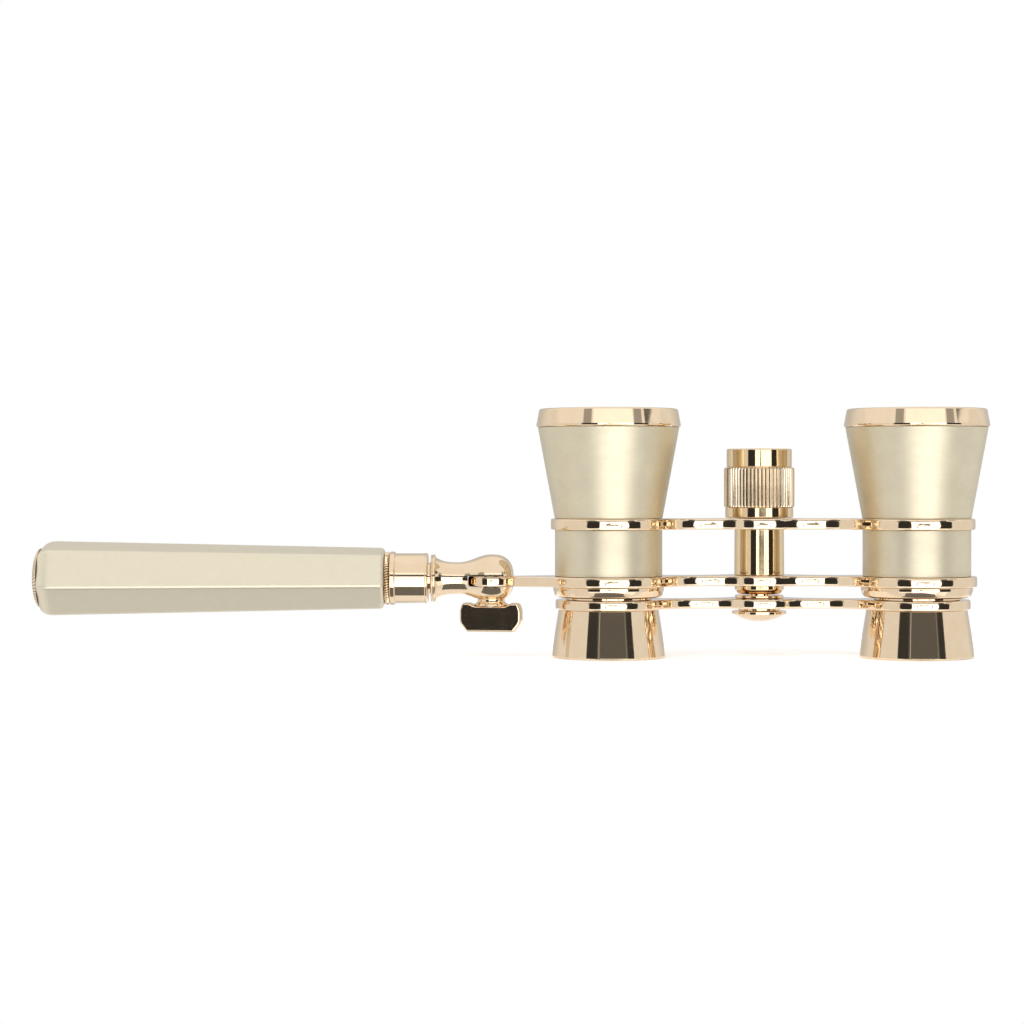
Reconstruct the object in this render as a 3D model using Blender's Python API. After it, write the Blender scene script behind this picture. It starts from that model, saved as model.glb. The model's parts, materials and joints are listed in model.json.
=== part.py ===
"""Opera glasses on a folding, extending handle, standing on their eyecups.

The barrels run along +Z, with the objectives up. The handle leaves to -X and swings about a
vertical screw. Lengths below are in millimetres, and build_mesh() turns them into metres.
"""

import math

import bmesh
import bpy
from mathutils import Matrix, Vector

MM = 0.001

# ---- Driving dimensions, in millimetres ----------------------------------------------------
BARREL_SPACING = 64.0
CENTRE_X = 52.35  # middle of the glasses; the whole object is centred on the origin
HUB_SETBACK = 7.6  # the focus shaft stands this far behind the barrels
SEAM = 0.2  # between pieces that are screwed or pressed together
RUNNING = 0.1  # between pieces that slide or turn

OUTLINE_STEP = math.radians(11.25)  # along the curved edges of the bridges
BARREL_SIDES = 28
INNER_SIDES = 20
SHAFT_SIDES = 20

# The three bridges: (underside, top) heights, and the outline seen from above
UPPER_BRIDGE_Z = (26.55, 28.8)
MIDDLE_BRIDGE_Z = (14.75, 16.85)
LOWER_BRIDGE_Z = (10.05, 12.0)
UPPER_RING_R = 12.05
MIDDLE_RING_R = 12.4
LOWER_RING_R = 11.05
HUB_FRONT_R = 9.3
HUB_BACK_R = 7.35
FRONT_ARM_R = 12.0  # concave edges of the arms
BACK_ARM_R = 14.0

# Objective end
RIM_R = 15.0
RIM_TOP_R = 14.4
RIM_Z = (47.8, 51.6)
RIM_EDGE = 0.5  # rounding of the rim's corners
BELL_TOP_R = 14.7
BELL_FOOT_R = 11.2
BELL_THREAD_R = 14.0  # inside the rim
BELL_TOP_Z = 50.2
BELL_SPIGOT_Z = 23.0
LENS_SEAT_Z = 44.8
OBJECTIVE_R = 13.1
OBJECTIVE_EDGE = 2.4  # thickness at the lens's edge
CLEAR_R = 12.5
CLEAR_WEB = 0.2  # how far the lens seat stands in from the clear radius
LOCK_RING_DROP = 0.3

# Waist and eyepiece end
WAIST_R = 11.15
THREAD_R = 10.0  # bell spigot and shoulder ring spigot, inside the waist tube
SHOULDER_R = 11.5
SHOULDER_Z = (12.5, 14.55)
SHOULDER_TOP_Z = 20.0
DRAW_R = 9.0
DRAW_TOP_Z = 22.0
DRAW_FOOT_R = 8.4
DRAW_FOOT_Z = 6.8
DRAW_BORE_R = 6.9
DRAW_CHAMFER = 0.6
EYECUP_TOP_R = 10.375
EYECUP_FOOT_R = 11.9
EYECUP_TOP_Z = 9.85
EYECUP_LIP = 0.3
CUP_DEPTH = 3.4
CUP_WEB = 0.6
EYE_APERTURE_R = 6.0
EYE_LENS_EDGE = 1.5
EYE_LENS_HOLLOW = 0.5  # depth of each concave face
EYE_LENS_FLAT = 1.2  # flat band round each face

# Focus shaft
KNOB_R = 7.4
KNOB_COLLAR_R = 7.15
KNOB_CAP_R = 6.85
KNOB_Z = (29.0, 39.5)
KNURL_FOOT_Z = 31.1
KNOB_EDGE = 0.3
KNOB_WEB_Z = 33.0  # floor of the hollow that holds the spindle's nut
KNOB_BORE_R = 5.0
KNOB_CAP_Z = (39.7, 43.4)
CAP_PLUG_Z = 37.6
WASHER_R = 5.2
WASHER_TOP = 0.5  # above the upper bridge
HOUSING_R = 5.25
HOUSING_TOP_R = 5.1
HOUSING_SPIGOT_R = 4.1
HOUSING_BORE_R = 3.3
HOUSING_FOOT_Z = 13.5
HOUSING_NECK_Z = (27.35, 28.6)  # the lip that keeps the spindle down
GLAND_Z = 12.9
GLAND_FLOOR_Z = 13.3
GLAND_R = 5.15
SPINDLE_R = 1.5
SPINDLE_Z = (14.5, 35.6)
SPINDLE_COLLAR_R = 3.0
JOURNAL_R = 2.0
NUT_R = 3.9
NUT_TOP_Z = 35.2
ROD_R = 2.5
ROD_TOP_Z = 25.0
ROD_FLANGE_R = 5.1
ROD_FLANGE = 0.5
ROD_WEB_Z = (13.2, 14.0)  # between the spindle's bore above and the screw's below
ROD_WASHER_R = 4.35
SCREW_HEAD_R = 5.7
SCREW_HEAD_Z = (7.0, 9.15)
SCREW_TIP_Z = 12.9
SCREW_DOME_R = 9.3

# Handle; distances along it are measured outwards from the hinge axis
HINGE_REACH = 24.4  # from the left barrel's axis to the hinge axis
HANDLE_Z = 16.4
BALL_R = 4.42
BALL_REACH = 4.7
BALL_POWER = 2.6  # a little squarer than a sphere
NECK_R = 3.3
NECK_AT = 6.8
NECK_FLARE_R = 4.35  # where the neck runs into the flange
CLEVIS_FLANGE_R = 4.95
CLEVIS_FLANGE = 1.0
CLEVIS_END = 12.5
CLEVIS_SPIGOT_END = 20.0
SLOT_DEPTH = 4.95
SPOT_FACE_Z = 12.4
TAB_DISC_R = 4.8
TAB_HALF_WIDTH = 2.0
TAB_TAPER = math.radians(24.0)
TAB_FILLET_R = 4.5
SHANK_R = 1.5
SHANK_Z = (9.6, 18.9)
INNER_TUBE_R = 3.2
INNER_TUBE_BORE_R = 2.6
INNER_TUBE_END = 87.5
STOP_LENGTH = 2.0
BUSH_SPAN = (15.0, 21.5)
FERRULE_R = 5.17
FERRULE_START = 13.1
FERRULE_LIP = 1.5
FERRULE_FLANGE_R = 5.54
FERRULE_FLANGE_SPAN = (20.0, 21.0)
FERRULE_SPIGOT_R = 4.6
FERRULE_END = 28.5
GRIP_START = 22.2
GRIP_END = 93.8
GRIP_START_FLATS = 11.5
GRIP_END_FLATS = 14.1
GRIP_TURN = math.radians(17.0)
GRIP_BORE_R = 4.1
GRIP_BORE_END = 90.0
END_CAP_R = 6.2
END_CAP_PLUG_R = 2.8
END_CAP_PLUG = 2.3
END_CAP_RIM = 0.7
END_CAP_TIP = 95.3

# Thumb screw wing
WING_YAW = math.radians(-10.5)
WING_THICKNESS = 3.0
WING_Z = (5.2, 11.3)
WING_HALF_FOOT = 5.1
WING_HALF_TOP = 5.4
WING_BULGE = 1.3
COLLAR_R = 3.0
COLLAR_FOOT_Z = 9.7

# ---- Materials: colour, metallic, roughness ------------------------------------------------
FINISHES = {
    "gold_plate": ((0.83, 0.62, 0.40), 1.0, 0.12),
    "champagne_satin": ((0.72, 0.68, 0.50), 1.0, 0.38),
    "grip_paint": ((0.70, 0.65, 0.50), 0.35, 0.5),
    "lens_glass": ((0.75, 0.85, 0.88), 0.0, 0.03),
    "black_brass": ((0.03, 0.03, 0.03), 0.6, 0.5),
    "plain_steel": ((0.55, 0.55, 0.57), 1.0, 0.3),
    "slide_nylon": ((0.85, 0.83, 0.78), 0.0, 0.5),
}


def clear_scene():
    for old in list(bpy.data.objects):
        bpy.data.objects.remove(old, do_unlink=True)


def finish(name):
    """The shared material of that name, made the first time it is asked for."""
    found = bpy.data.materials.get(name)
    if found:
        return found
    colour, metallic, roughness = FINISHES[name]
    made = bpy.data.materials.new(name)
    made.use_nodes = True
    shader = made.node_tree.nodes["Principled BSDF"]
    shader.inputs["Base Color"].default_value = (*colour, 1.0)
    shader.inputs["Metallic"].default_value = metallic
    shader.inputs["Roughness"].default_value = roughness
    return made


def pivot(name, at, parent=None):
    """An empty on a joint's axis, at a place given in millimetres."""
    made = bpy.data.objects.new(name, None)
    made.empty_display_size = 5.0 * MM
    bpy.context.collection.objects.link(made)
    made.location = Vector(at) * MM
    if parent:
        made.parent = parent
        made.location = (Vector(at) * MM) - parent.matrix_world.translation
    bpy.context.view_layer.update()
    return made


def build_mesh(name, bm, at, material, parent=None, along_handle=False):
    """Closes off a piece drawn in millimetres: scales it, faces it outwards and places it."""
    bmesh.ops.scale(bm, vec=(MM, MM, MM), verts=bm.verts)
    bmesh.ops.recalc_face_normals(bm, faces=bm.faces)
    mesh = bpy.data.meshes.new(name)
    bm.to_mesh(mesh)
    bm.free()
    mesh.shade_smooth()
    mesh.set_sharp_from_angle(angle=math.radians(30.0))
    mesh.materials.append(finish(material))
    made = bpy.data.objects.new(name, mesh)
    bpy.context.collection.objects.link(made)
    made.location = Vector(at) * MM
    if along_handle:
        made.rotation_euler = (0.0, -math.pi / 2, 0.0)
    if parent:
        made.parent = parent
        made.location = (Vector(at) * MM) - parent.matrix_world.translation
    return made


def turned(profile, sides):
    """A bmesh turned about Z from a closed outline of (radius, height) points."""
    bm = bmesh.new()
    rings = []
    for radius, height in profile:
        if radius == 0:
            rings.append([bm.verts.new((0.0, 0.0, height))])
            continue
        ring = []
        for step in range(sides):
            angle = 2 * math.pi * step / sides
            ring.append(bm.verts.new((radius * math.cos(angle), radius * math.sin(angle), height)))
        rings.append(ring)
    for this, that in zip(rings, rings[1:] + rings[:1]):
        for step in range(sides):
            after = (step + 1) % sides
            corners = [this[step % len(this)], this[after % len(this)]]
            corners += [that[after % len(that)], that[step % len(that)]]
            unique = list(dict.fromkeys(corners))
            if len(unique) > 2:
                bm.faces.new(unique)
    return bm


def sleeve(inner, outer, low, high):
    """The outline of a plain tube or washer."""
    return [(inner, low), (outer, low), (outer, high), (inner, high)]


def rod(radius, low, high):
    """The outline of a plain solid cylinder."""
    return [(0, low), (radius, low), (radius, high), (0, high)]


def arc(centre, radius, start, end, steps):
    """Points on an arc, both ends included; angles in radians."""
    points = []
    for step in range(steps + 1):
        angle = start + (end - start) * step / steps
        points.append((centre[0] + radius * math.cos(angle), centre[1] + radius * math.sin(angle)))
    return points


def extruded(outline, holes, low, high):
    """A bmesh plate between two heights, from a flat outline and its holes."""
    bm = bmesh.new()
    edges = []
    for loop in [outline] + holes:
        corners = [bm.verts.new((x, y, low)) for x, y in loop]
        for first, second in zip(corners, corners[1:] + corners[:1]):
            edges.append(bm.edges.new((first, second)))
    filled = bmesh.ops.triangle_fill(bm, edges=edges, use_beauty=True)
    faces = [piece for piece in filled["geom"] if isinstance(piece, bmesh.types.BMFace)]
    raised = bmesh.ops.extrude_face_region(bm, geom=faces, use_keep_orig=True)
    moved = [piece for piece in raised["geom"] if isinstance(piece, bmesh.types.BMVert)]
    bmesh.ops.translate(bm, vec=(0.0, 0.0, high - low), verts=moved)
    return bm


def circle_loop(centre, radius, sides):
    return arc(centre, radius, 0.0, 2 * math.pi * (sides - 1) / sides, sides - 1)


def touching_centre(first, first_r, second, second_r, radius, side):
    """Centre of a circle that touches two others from outside; side is +1 for behind, -1 in front."""
    a = Vector(first)
    b = Vector(second)
    apart = (b - a).length
    reach_a = first_r + radius
    reach_b = second_r + radius
    along = (reach_a**2 - reach_b**2 + apart**2) / (2 * apart)
    across = math.sqrt(reach_a**2 - along**2)
    line = (b - a) / apart
    normal = Vector((-line.y, line.x))
    if normal.y * side < 0:
        normal = -normal
    return a + line * along + normal * across


def arc_between(centre, radius, before, after, turn):
    """The arc from where one touching circle meets this one to where the next does, without its end.

    before and after are those circles' centres; turn is +1 to the left and -1 to the right.
    """
    here = Vector(centre)
    start = math.atan2(before[1] - here.y, before[0] - here.x)
    sweep = math.atan2(after[1] - here.y, after[0] - here.x) - start
    while sweep * turn <= 0:
        sweep += 2 * math.pi * turn
    steps = max(2, round(abs(sweep) / OUTLINE_STEP))
    return arc(centre, radius, start, start + sweep, steps)[:-1]


def tab_edge(ring_r):
    """Back edge of the handle tab: its fillet's centre, and the points from the ring to the disc."""
    ring = Vector((-BARREL_SPACING / 2, 0.0))
    hinge_x = ring.x - HINGE_REACH
    corner = Vector((hinge_x + math.sqrt(TAB_DISC_R**2 - TAB_HALF_WIDTH**2), TAB_HALF_WIDTH))
    line = Vector((math.cos(TAB_TAPER), math.sin(TAB_TAPER)))
    outward = Vector((-line.y, line.x))
    start = corner + outward * TAB_FILLET_R
    along = (ring - start).dot(line)
    off = (ring - start).dot(outward)
    fillet = start + line * (along - math.sqrt((ring_r + TAB_FILLET_R) ** 2 - off**2))
    first = math.atan2(ring.y - fillet.y, ring.x - fillet.x)
    last = math.atan2(-outward.y, -outward.x)
    return fillet, arc(fillet, TAB_FILLET_R, first, last, 4)


def bridge_outline(ring_r, with_tab=False):
    """Two rings joined through a set-back hub by waisted arms, counter-clockwise from above."""
    left = (-BARREL_SPACING / 2, 0.0)
    right = (BARREL_SPACING / 2, 0.0)
    hub = (0.0, HUB_SETBACK)
    right_back = touching_centre(right, ring_r, hub, HUB_BACK_R, BACK_ARM_R, 1)
    right_front = touching_centre(right, ring_r, hub, HUB_FRONT_R, FRONT_ARM_R, -1)
    left_back = (-right_back.x, right_back.y)
    left_front = (-right_front.x, right_front.y)
    points = arc_between(right, ring_r, right_front, right_back, 1)
    points += arc_between(right_back, BACK_ARM_R, right, hub, -1)
    points += arc_between(hub, HUB_BACK_R, right_back, left_back, 1)
    points += arc_between(left_back, BACK_ARM_R, hub, left, -1)
    if with_tab:
        fillet, back = tab_edge(ring_r)
        front = [(x, -y) for x, y in reversed(back)]
        hinge = (left[0] - HINGE_REACH, 0.0)
        corner = math.asin(TAB_HALF_WIDTH / TAB_DISC_R)
        points += arc_between(left, ring_r, left_back, fillet, 1)
        points += back + arc(hinge, TAB_DISC_R, corner, 2 * math.pi - corner, 18) + front[:-1]
        points += arc_between(left, ring_r, (fillet.x, -fillet.y), left_front, 1)
    else:
        points += arc_between(left, ring_r, left_back, left_front, 1)
    points += arc_between(left_front, FRONT_ARM_R, left, hub, -1)
    points += arc_between(hub, HUB_FRONT_R, left_front, right_front, 1)
    points += arc_between(right_front, FRONT_ARM_R, hub, right, -1)
    return points


def add_boolean(target, tool_mesh, operation):
    """Cuts or joins with a mesh that is drawn in the target's own axes, then applies the result."""
    tool = bpy.data.objects.new("boolean_tool", tool_mesh)
    bpy.context.collection.objects.link(tool)
    tool.hide_render = True
    tool.display_type = "WIRE"
    tool.matrix_world = target.matrix_world
    modifier = target.modifiers.new("boolean", "BOOLEAN")
    modifier.operation = operation
    modifier.solver = "EXACT"
    modifier.object = tool
    bpy.context.view_layer.update()
    graph = bpy.context.evaluated_depsgraph_get()
    result = bpy.data.meshes.new_from_object(target.evaluated_get(graph))
    target.modifiers.remove(modifier)
    bpy.data.objects.remove(tool, do_unlink=True)
    result.name = target.name
    target.data = result


def tool_mesh(bm):
    """A mesh for add_boolean, in metres, from a bmesh in millimetres."""
    bmesh.ops.scale(bm, vec=(MM, MM, MM), verts=bm.verts)
    bmesh.ops.recalc_face_normals(bm, faces=bm.faces)
    mesh = bpy.data.meshes.new("boolean_tool")
    bm.to_mesh(mesh)
    bm.free()
    return mesh


def make_bridges(frame, carriage):
    """The three plates that hold the barrels and the focus shaft together."""
    centre = (CENTRE_X, 0.0, 0.0)
    left = (-BARREL_SPACING / 2, 0.0)
    right = (BARREL_SPACING / 2, 0.0)
    hub = (0.0, HUB_SETBACK)
    hinge = (left[0] - HINGE_REACH, 0.0)

    def holes(ring_hole, hub_hole):
        rings = [circle_loop(place, ring_hole, BARREL_SIDES) for place in (left, right)]
        return rings + [circle_loop(hub, hub_hole, SHAFT_SIDES)]

    screwed = holes(THREAD_R + SEAM, HOUSING_SPIGOT_R + SEAM)
    upper = extruded(bridge_outline(UPPER_RING_R), screwed, *UPPER_BRIDGE_Z)
    build_mesh("upper_bridge", upper, centre, "gold_plate", frame)
    screwed.append(circle_loop(hinge, SHANK_R + RUNNING, SHAFT_SIDES))
    middle = extruded(bridge_outline(MIDDLE_RING_R, True), screwed, *MIDDLE_BRIDGE_Z)
    build_mesh("middle_bridge", middle, centre, "gold_plate", frame)
    clamped = holes(DRAW_FOOT_R + SEAM, ROD_R + SEAM)
    lower = extruded(bridge_outline(LOWER_RING_R), clamped, *LOWER_BRIDGE_Z)
    build_mesh("eyepiece_bridge", lower, centre, "gold_plate", carriage)


def make_objective(side, at, frame):
    """The bell, its rim, and the lens held in its mouth by a lock ring."""
    bell_foot = UPPER_BRIDGE_Z[1] + SEAM
    bell_top = RIM_Z[0] - SEAM
    pocket_r = OBJECTIVE_R + SEAM
    bell = [
        (DRAW_R, BELL_SPIGOT_Z),
        (THREAD_R, BELL_SPIGOT_Z),
        (THREAD_R, bell_foot),
        (BELL_FOOT_R, bell_foot),
        (BELL_TOP_R, bell_top),
        (BELL_THREAD_R, bell_top),
        (BELL_THREAD_R, BELL_TOP_Z),
        (pocket_r, BELL_TOP_Z),
        (pocket_r, LENS_SEAT_Z),
        (CLEAR_R - CLEAR_WEB, LENS_SEAT_Z),
        (DRAW_R, bell_foot),
    ]
    build_mesh(side + "_objective_bell", turned(bell, BARREL_SIDES), at, "champagne_satin", frame)

    rim_bore = BELL_THREAD_R + SEAM
    lip_z = BELL_TOP_Z + SEAM
    rim = [
        (rim_bore, RIM_Z[0]),
        (RIM_R - RIM_EDGE / 2, RIM_Z[0]),
        (RIM_R, RIM_Z[0] + RIM_EDGE),
        (RIM_TOP_R, RIM_Z[1] - RIM_EDGE),
        (RIM_TOP_R - RIM_EDGE, RIM_Z[1]),
        (CLEAR_R + RIM_EDGE, RIM_Z[1]),
        (CLEAR_R, lip_z + RIM_EDGE),
        (CLEAR_R, lip_z),
        (rim_bore, lip_z),
    ]
    build_mesh(side + "_objective_rim", turned(rim, BARREL_SIDES), at, "gold_plate", frame)

    back_z = LENS_SEAT_Z + SEAM
    front_z = back_z + OBJECTIVE_EDGE
    lens = [(0, back_z + 0.4), (OBJECTIVE_R * 0.6, back_z + 0.15), (OBJECTIVE_R, back_z)]
    lens += [(OBJECTIVE_R, front_z), (OBJECTIVE_R * 0.6, front_z + 0.7), (0, front_z + 1.1)]
    build_mesh(side + "_objective_lens", turned(lens, INNER_SIDES), at, "lens_glass", frame)

    lock = sleeve(CLEAR_R, OBJECTIVE_R, front_z + SEAM, BELL_TOP_Z - LOCK_RING_DROP)
    build_mesh(side + "_objective_lock_ring", turned(lock, INNER_SIDES), at, "black_brass", frame)


def make_waist(side, at, frame):
    """The plain tube between the bridges, and the ring screwed into it that guides the draw tube."""
    waist = sleeve(THREAD_R + SEAM, WAIST_R, MIDDLE_BRIDGE_Z[1] + SEAM, UPPER_BRIDGE_Z[0] - SEAM)
    build_mesh(side + "_waist_tube", turned(waist, BARREL_SIDES), at, "champagne_satin", frame)

    guide_r = DRAW_R + RUNNING
    foot_z = SHOULDER_Z[0]
    shoulder = [
        (guide_r, foot_z),
        (SHOULDER_R - 0.9, foot_z),
        (SHOULDER_R - 0.25, foot_z + 0.4),
        (SHOULDER_R, foot_z + 1.1),
        (SHOULDER_R, SHOULDER_Z[1]),
        (THREAD_R, SHOULDER_Z[1]),
        (THREAD_R, SHOULDER_TOP_Z),
        (guide_r, SHOULDER_TOP_Z),
    ]
    build_mesh(side + "_shoulder_ring", turned(shoulder, BARREL_SIDES), at, "gold_plate", frame)


def make_eyepiece(side, at, carriage):
    """The draw tube with the flared eyecup on its end, and the eye lens with its ring inside."""
    step_z = LOWER_BRIDGE_Z[1] + SEAM
    draw = [
        (DRAW_BORE_R, DRAW_FOOT_Z),
        (DRAW_FOOT_R, DRAW_FOOT_Z),
        (DRAW_FOOT_R, step_z),
        (DRAW_R, step_z),
        (DRAW_R, DRAW_TOP_Z),
        (DRAW_BORE_R + DRAW_CHAMFER, DRAW_TOP_Z),
    ]
    build_mesh(side + "_draw_tube", turned(draw, BARREL_SIDES), at, "gold_plate", carriage)

    web_z = CUP_DEPTH + CUP_WEB
    cup_bore = DRAW_FOOT_R + SEAM
    cup = [
        (EYECUP_FOOT_R - 3 * EYECUP_LIP, 0.0),
        (EYECUP_FOOT_R - EYECUP_LIP, 0.0),
        (EYECUP_FOOT_R, EYECUP_LIP),
        (EYECUP_TOP_R, EYECUP_TOP_Z - 2 * EYECUP_LIP),
        (EYECUP_TOP_R, EYECUP_TOP_Z),
        (cup_bore, EYECUP_TOP_Z),
        (cup_bore, web_z),
        (EYE_APERTURE_R, web_z),
        (EYE_APERTURE_R, CUP_DEPTH),
        (EYE_APERTURE_R + 1.6, CUP_DEPTH - EYECUP_LIP),
    ]
    build_mesh(side + "_eyecup", turned(cup, BARREL_SIDES), at, "gold_plate", carriage)

    lens_foot = web_z + SEAM
    lens_top = lens_foot + EYE_LENS_EDGE
    face_r = DRAW_FOOT_R - EYE_LENS_FLAT
    eye = [(0, lens_foot + EYE_LENS_HOLLOW), (face_r, lens_foot), (DRAW_FOOT_R, lens_foot)]
    eye += [(DRAW_FOOT_R, lens_top), (face_r, lens_top), (0, lens_top - EYE_LENS_HOLLOW)]
    build_mesh(side + "_eye_lens", turned(eye, INNER_SIDES), at, "lens_glass", carriage)

    ring = sleeve(EYE_APERTURE_R + SEAM, DRAW_FOOT_R, lens_top + SEAM, DRAW_FOOT_Z - SEAM)
    build_mesh(side + "_eye_lens_ring", turned(ring, INNER_SIDES), at, "black_brass", carriage)


def make_housing(at, frame):
    """The tube between the bridges, the gland cap screwed on below it and the knob's washer."""
    housing = [
        (HOUSING_BORE_R, HOUSING_FOOT_Z),
        (HOUSING_SPIGOT_R, HOUSING_FOOT_Z),
        (HOUSING_SPIGOT_R, MIDDLE_BRIDGE_Z[1] + SEAM),
        (HOUSING_R, MIDDLE_BRIDGE_Z[1] + SEAM),
        (HOUSING_TOP_R, UPPER_BRIDGE_Z[0] - SEAM),
        (HOUSING_SPIGOT_R, UPPER_BRIDGE_Z[0] - SEAM),
        (HOUSING_SPIGOT_R, HOUSING_NECK_Z[1]),
        (JOURNAL_R + SEAM, HOUSING_NECK_Z[1]),
        (JOURNAL_R + SEAM, HOUSING_NECK_Z[0]),
        (HOUSING_BORE_R, HOUSING_NECK_Z[0]),
    ]
    build_mesh("focus_housing", turned(housing, SHAFT_SIDES), at, "gold_plate", frame)

    thread_r = HOUSING_SPIGOT_R + SEAM
    gland_top = MIDDLE_BRIDGE_Z[0] - SEAM
    gland = [
        (ROD_R + SEAM, GLAND_Z),
        (GLAND_R - 1.0, GLAND_Z),
        (GLAND_R - 0.3, GLAND_Z + 0.5),
        (GLAND_R, GLAND_Z + 1.1),
        (GLAND_R, gland_top),
        (thread_r, gland_top),
        (thread_r, GLAND_FLOOR_Z),
        (ROD_R + SEAM, GLAND_FLOOR_Z),
    ]
    build_mesh("gland_cap", turned(gland, SHAFT_SIDES), at, "gold_plate", frame)

    bridge_top = UPPER_BRIDGE_Z[1]
    washer = sleeve(JOURNAL_R + SEAM, WASHER_R, bridge_top + RUNNING, bridge_top + WASHER_TOP)
    build_mesh("knob_washer", turned(washer, SHAFT_SIDES), at, "slide_nylon", frame)


def make_focus_rod(at, carriage):
    """The rod that pushes the eyepiece bridge, with the domed screw and washer below the bridge."""
    flange_z = LOWER_BRIDGE_Z[1] + SEAM
    foot_z = LOWER_BRIDGE_Z[0] - SEAM
    socket_r = SPINDLE_R + RUNNING
    focus_rod = [
        (0, ROD_WEB_Z[0]),
        (SPINDLE_R, ROD_WEB_Z[0]),
        (SPINDLE_R, foot_z),
        (ROD_R, foot_z),
        (ROD_R, flange_z),
        (ROD_FLANGE_R, flange_z),
        (ROD_FLANGE_R, flange_z + ROD_FLANGE),
        (ROD_R, flange_z + ROD_FLANGE),
        (ROD_R, ROD_TOP_Z),
        (socket_r, ROD_TOP_Z),
        (socket_r, ROD_WEB_Z[1]),
        (0, ROD_WEB_Z[1]),
    ]
    build_mesh("focus_rod", turned(focus_rod, SHAFT_SIDES), at, "gold_plate", carriage)

    washer = sleeve(SPINDLE_R, ROD_WASHER_R, SCREW_HEAD_Z[1] + SEAM, foot_z - SEAM)
    build_mesh("rod_washer", turned(washer, SHAFT_SIDES), at, "gold_plate", carriage)

    dome_angle = math.asin(SCREW_HEAD_R / SCREW_DOME_R)
    dome_centre = (0.0, SCREW_HEAD_Z[0] + SCREW_DOME_R)
    dome = arc(dome_centre, SCREW_DOME_R, -math.pi / 2, dome_angle - math.pi / 2, 4)
    shank_r = SPINDLE_R - SEAM
    screw = [(0, SCREW_HEAD_Z[0])] + dome[1:] + [(SCREW_HEAD_R, SCREW_HEAD_Z[1])]
    screw += [(shank_r, SCREW_HEAD_Z[1]), (shank_r, SCREW_TIP_Z), (0, SCREW_TIP_Z)]
    build_mesh("rod_screw", turned(screw, SHAFT_SIDES), at, "gold_plate", carriage)


def make_knob(at, knob):
    """The knob with its plug-in cap, and the spindle that a nut holds to it."""
    foot_z, top_z = KNOB_Z
    recess_r = WASHER_R + SEAM
    journal_bore = JOURNAL_R + RUNNING
    wheel = [
        (recess_r, foot_z),
        (KNOB_COLLAR_R, foot_z),
        (KNOB_COLLAR_R, KNURL_FOOT_Z),
        (KNOB_R, KNURL_FOOT_Z + KNOB_EDGE),
        (KNOB_R, top_z - KNOB_EDGE),
        (KNOB_CAP_R, top_z),
        (KNOB_BORE_R, top_z),
        (KNOB_BORE_R, KNOB_WEB_Z),
        (journal_bore, KNOB_WEB_Z),
        (journal_bore, foot_z + WASHER_TOP),
        (recess_r, foot_z + WASHER_TOP),
    ]
    build_mesh("focus_knob", turned(wheel, BARREL_SIDES), at, "gold_plate", knob)

    plug_r = KNOB_BORE_R - SEAM
    cap = [
        (0, CAP_PLUG_Z),
        (plug_r, CAP_PLUG_Z),
        (plug_r, KNOB_CAP_Z[0]),
        (KNOB_CAP_R, KNOB_CAP_Z[0]),
        (KNOB_CAP_R, KNOB_CAP_Z[1] - KNOB_EDGE),
        (KNOB_CAP_R - KNOB_EDGE, KNOB_CAP_Z[1]),
        (0, KNOB_CAP_Z[1]),
    ]
    build_mesh("focus_knob_cap", turned(cap, BARREL_SIDES), at, "gold_plate", knob)

    collar_foot = ROD_TOP_Z + 3 * RUNNING
    collar_top = HOUSING_NECK_Z[0] - RUNNING
    spindle = [
        (0, SPINDLE_Z[0]),
        (SPINDLE_R, SPINDLE_Z[0]),
        (SPINDLE_R, collar_foot),
        (SPINDLE_COLLAR_R, collar_foot),
        (SPINDLE_COLLAR_R, collar_top),
        (JOURNAL_R, collar_top),
        (JOURNAL_R, SPINDLE_Z[1]),
        (0, SPINDLE_Z[1]),
    ]
    build_mesh("focus_spindle", turned(spindle, SHAFT_SIDES), at, "plain_steel", knob)
    thread = circle_loop((0.0, 0.0), journal_bore, SHAFT_SIDES)
    nut = extruded(circle_loop((0.0, 0.0), NUT_R, 6), [thread], KNOB_WEB_Z + SEAM, NUT_TOP_Z)
    build_mesh("spindle_nut", nut, at, "plain_steel", knob)


def clevis_outline():
    """Ball, waisted neck, flange and spigot, as (radius, distance from the hinge) points."""
    points = [(0.0, -BALL_REACH)]
    ball_steps = 9
    for step in range(1, ball_steps + 1):
        angle = -math.pi / 2 * (1 - step / ball_steps)
        reach = BALL_REACH * math.sin(angle)
        radius = BALL_R * (1 - abs(reach / BALL_REACH) ** BALL_POWER) ** (1 / BALL_POWER)
        points.append((radius, reach))
    # From the ball to the neck the radius falls in one smooth wave, then it flares to the flange.
    wave_steps = 7
    for step in range(1, wave_steps + 1):
        share = step / wave_steps
        radius = NECK_R + (BALL_R - NECK_R) * (0.5 + 0.5 * math.cos(math.pi * share))
        points.append((radius, NECK_AT * share))
    flare_steps = 5
    flange_foot = CLEVIS_END - CLEVIS_FLANGE
    for step in range(1, flare_steps + 1):
        share = step / flare_steps
        radius = NECK_R + (NECK_FLARE_R - NECK_R) * share**3
        points.append((radius, NECK_AT + (flange_foot - NECK_AT) * share))
    spigot_r = INNER_TUBE_BORE_R - RUNNING
    points += [(CLEVIS_FLANGE_R, flange_foot + CLEVIS_FLANGE / 3), (CLEVIS_FLANGE_R, CLEVIS_END)]
    return points + [(spigot_r, CLEVIS_END), (spigot_r, CLEVIS_SPIGOT_END), (0, CLEVIS_SPIGOT_END)]


def block(low, high):
    """A bmesh box between two corners."""
    bm = bmesh.new()
    bmesh.ops.create_cube(bm, size=1.0)
    size = Vector(high) - Vector(low)
    bmesh.ops.scale(bm, vec=size, verts=bm.verts)
    bmesh.ops.translate(bm, vec=Vector(low) + size / 2, verts=bm.verts)
    return bm


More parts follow.
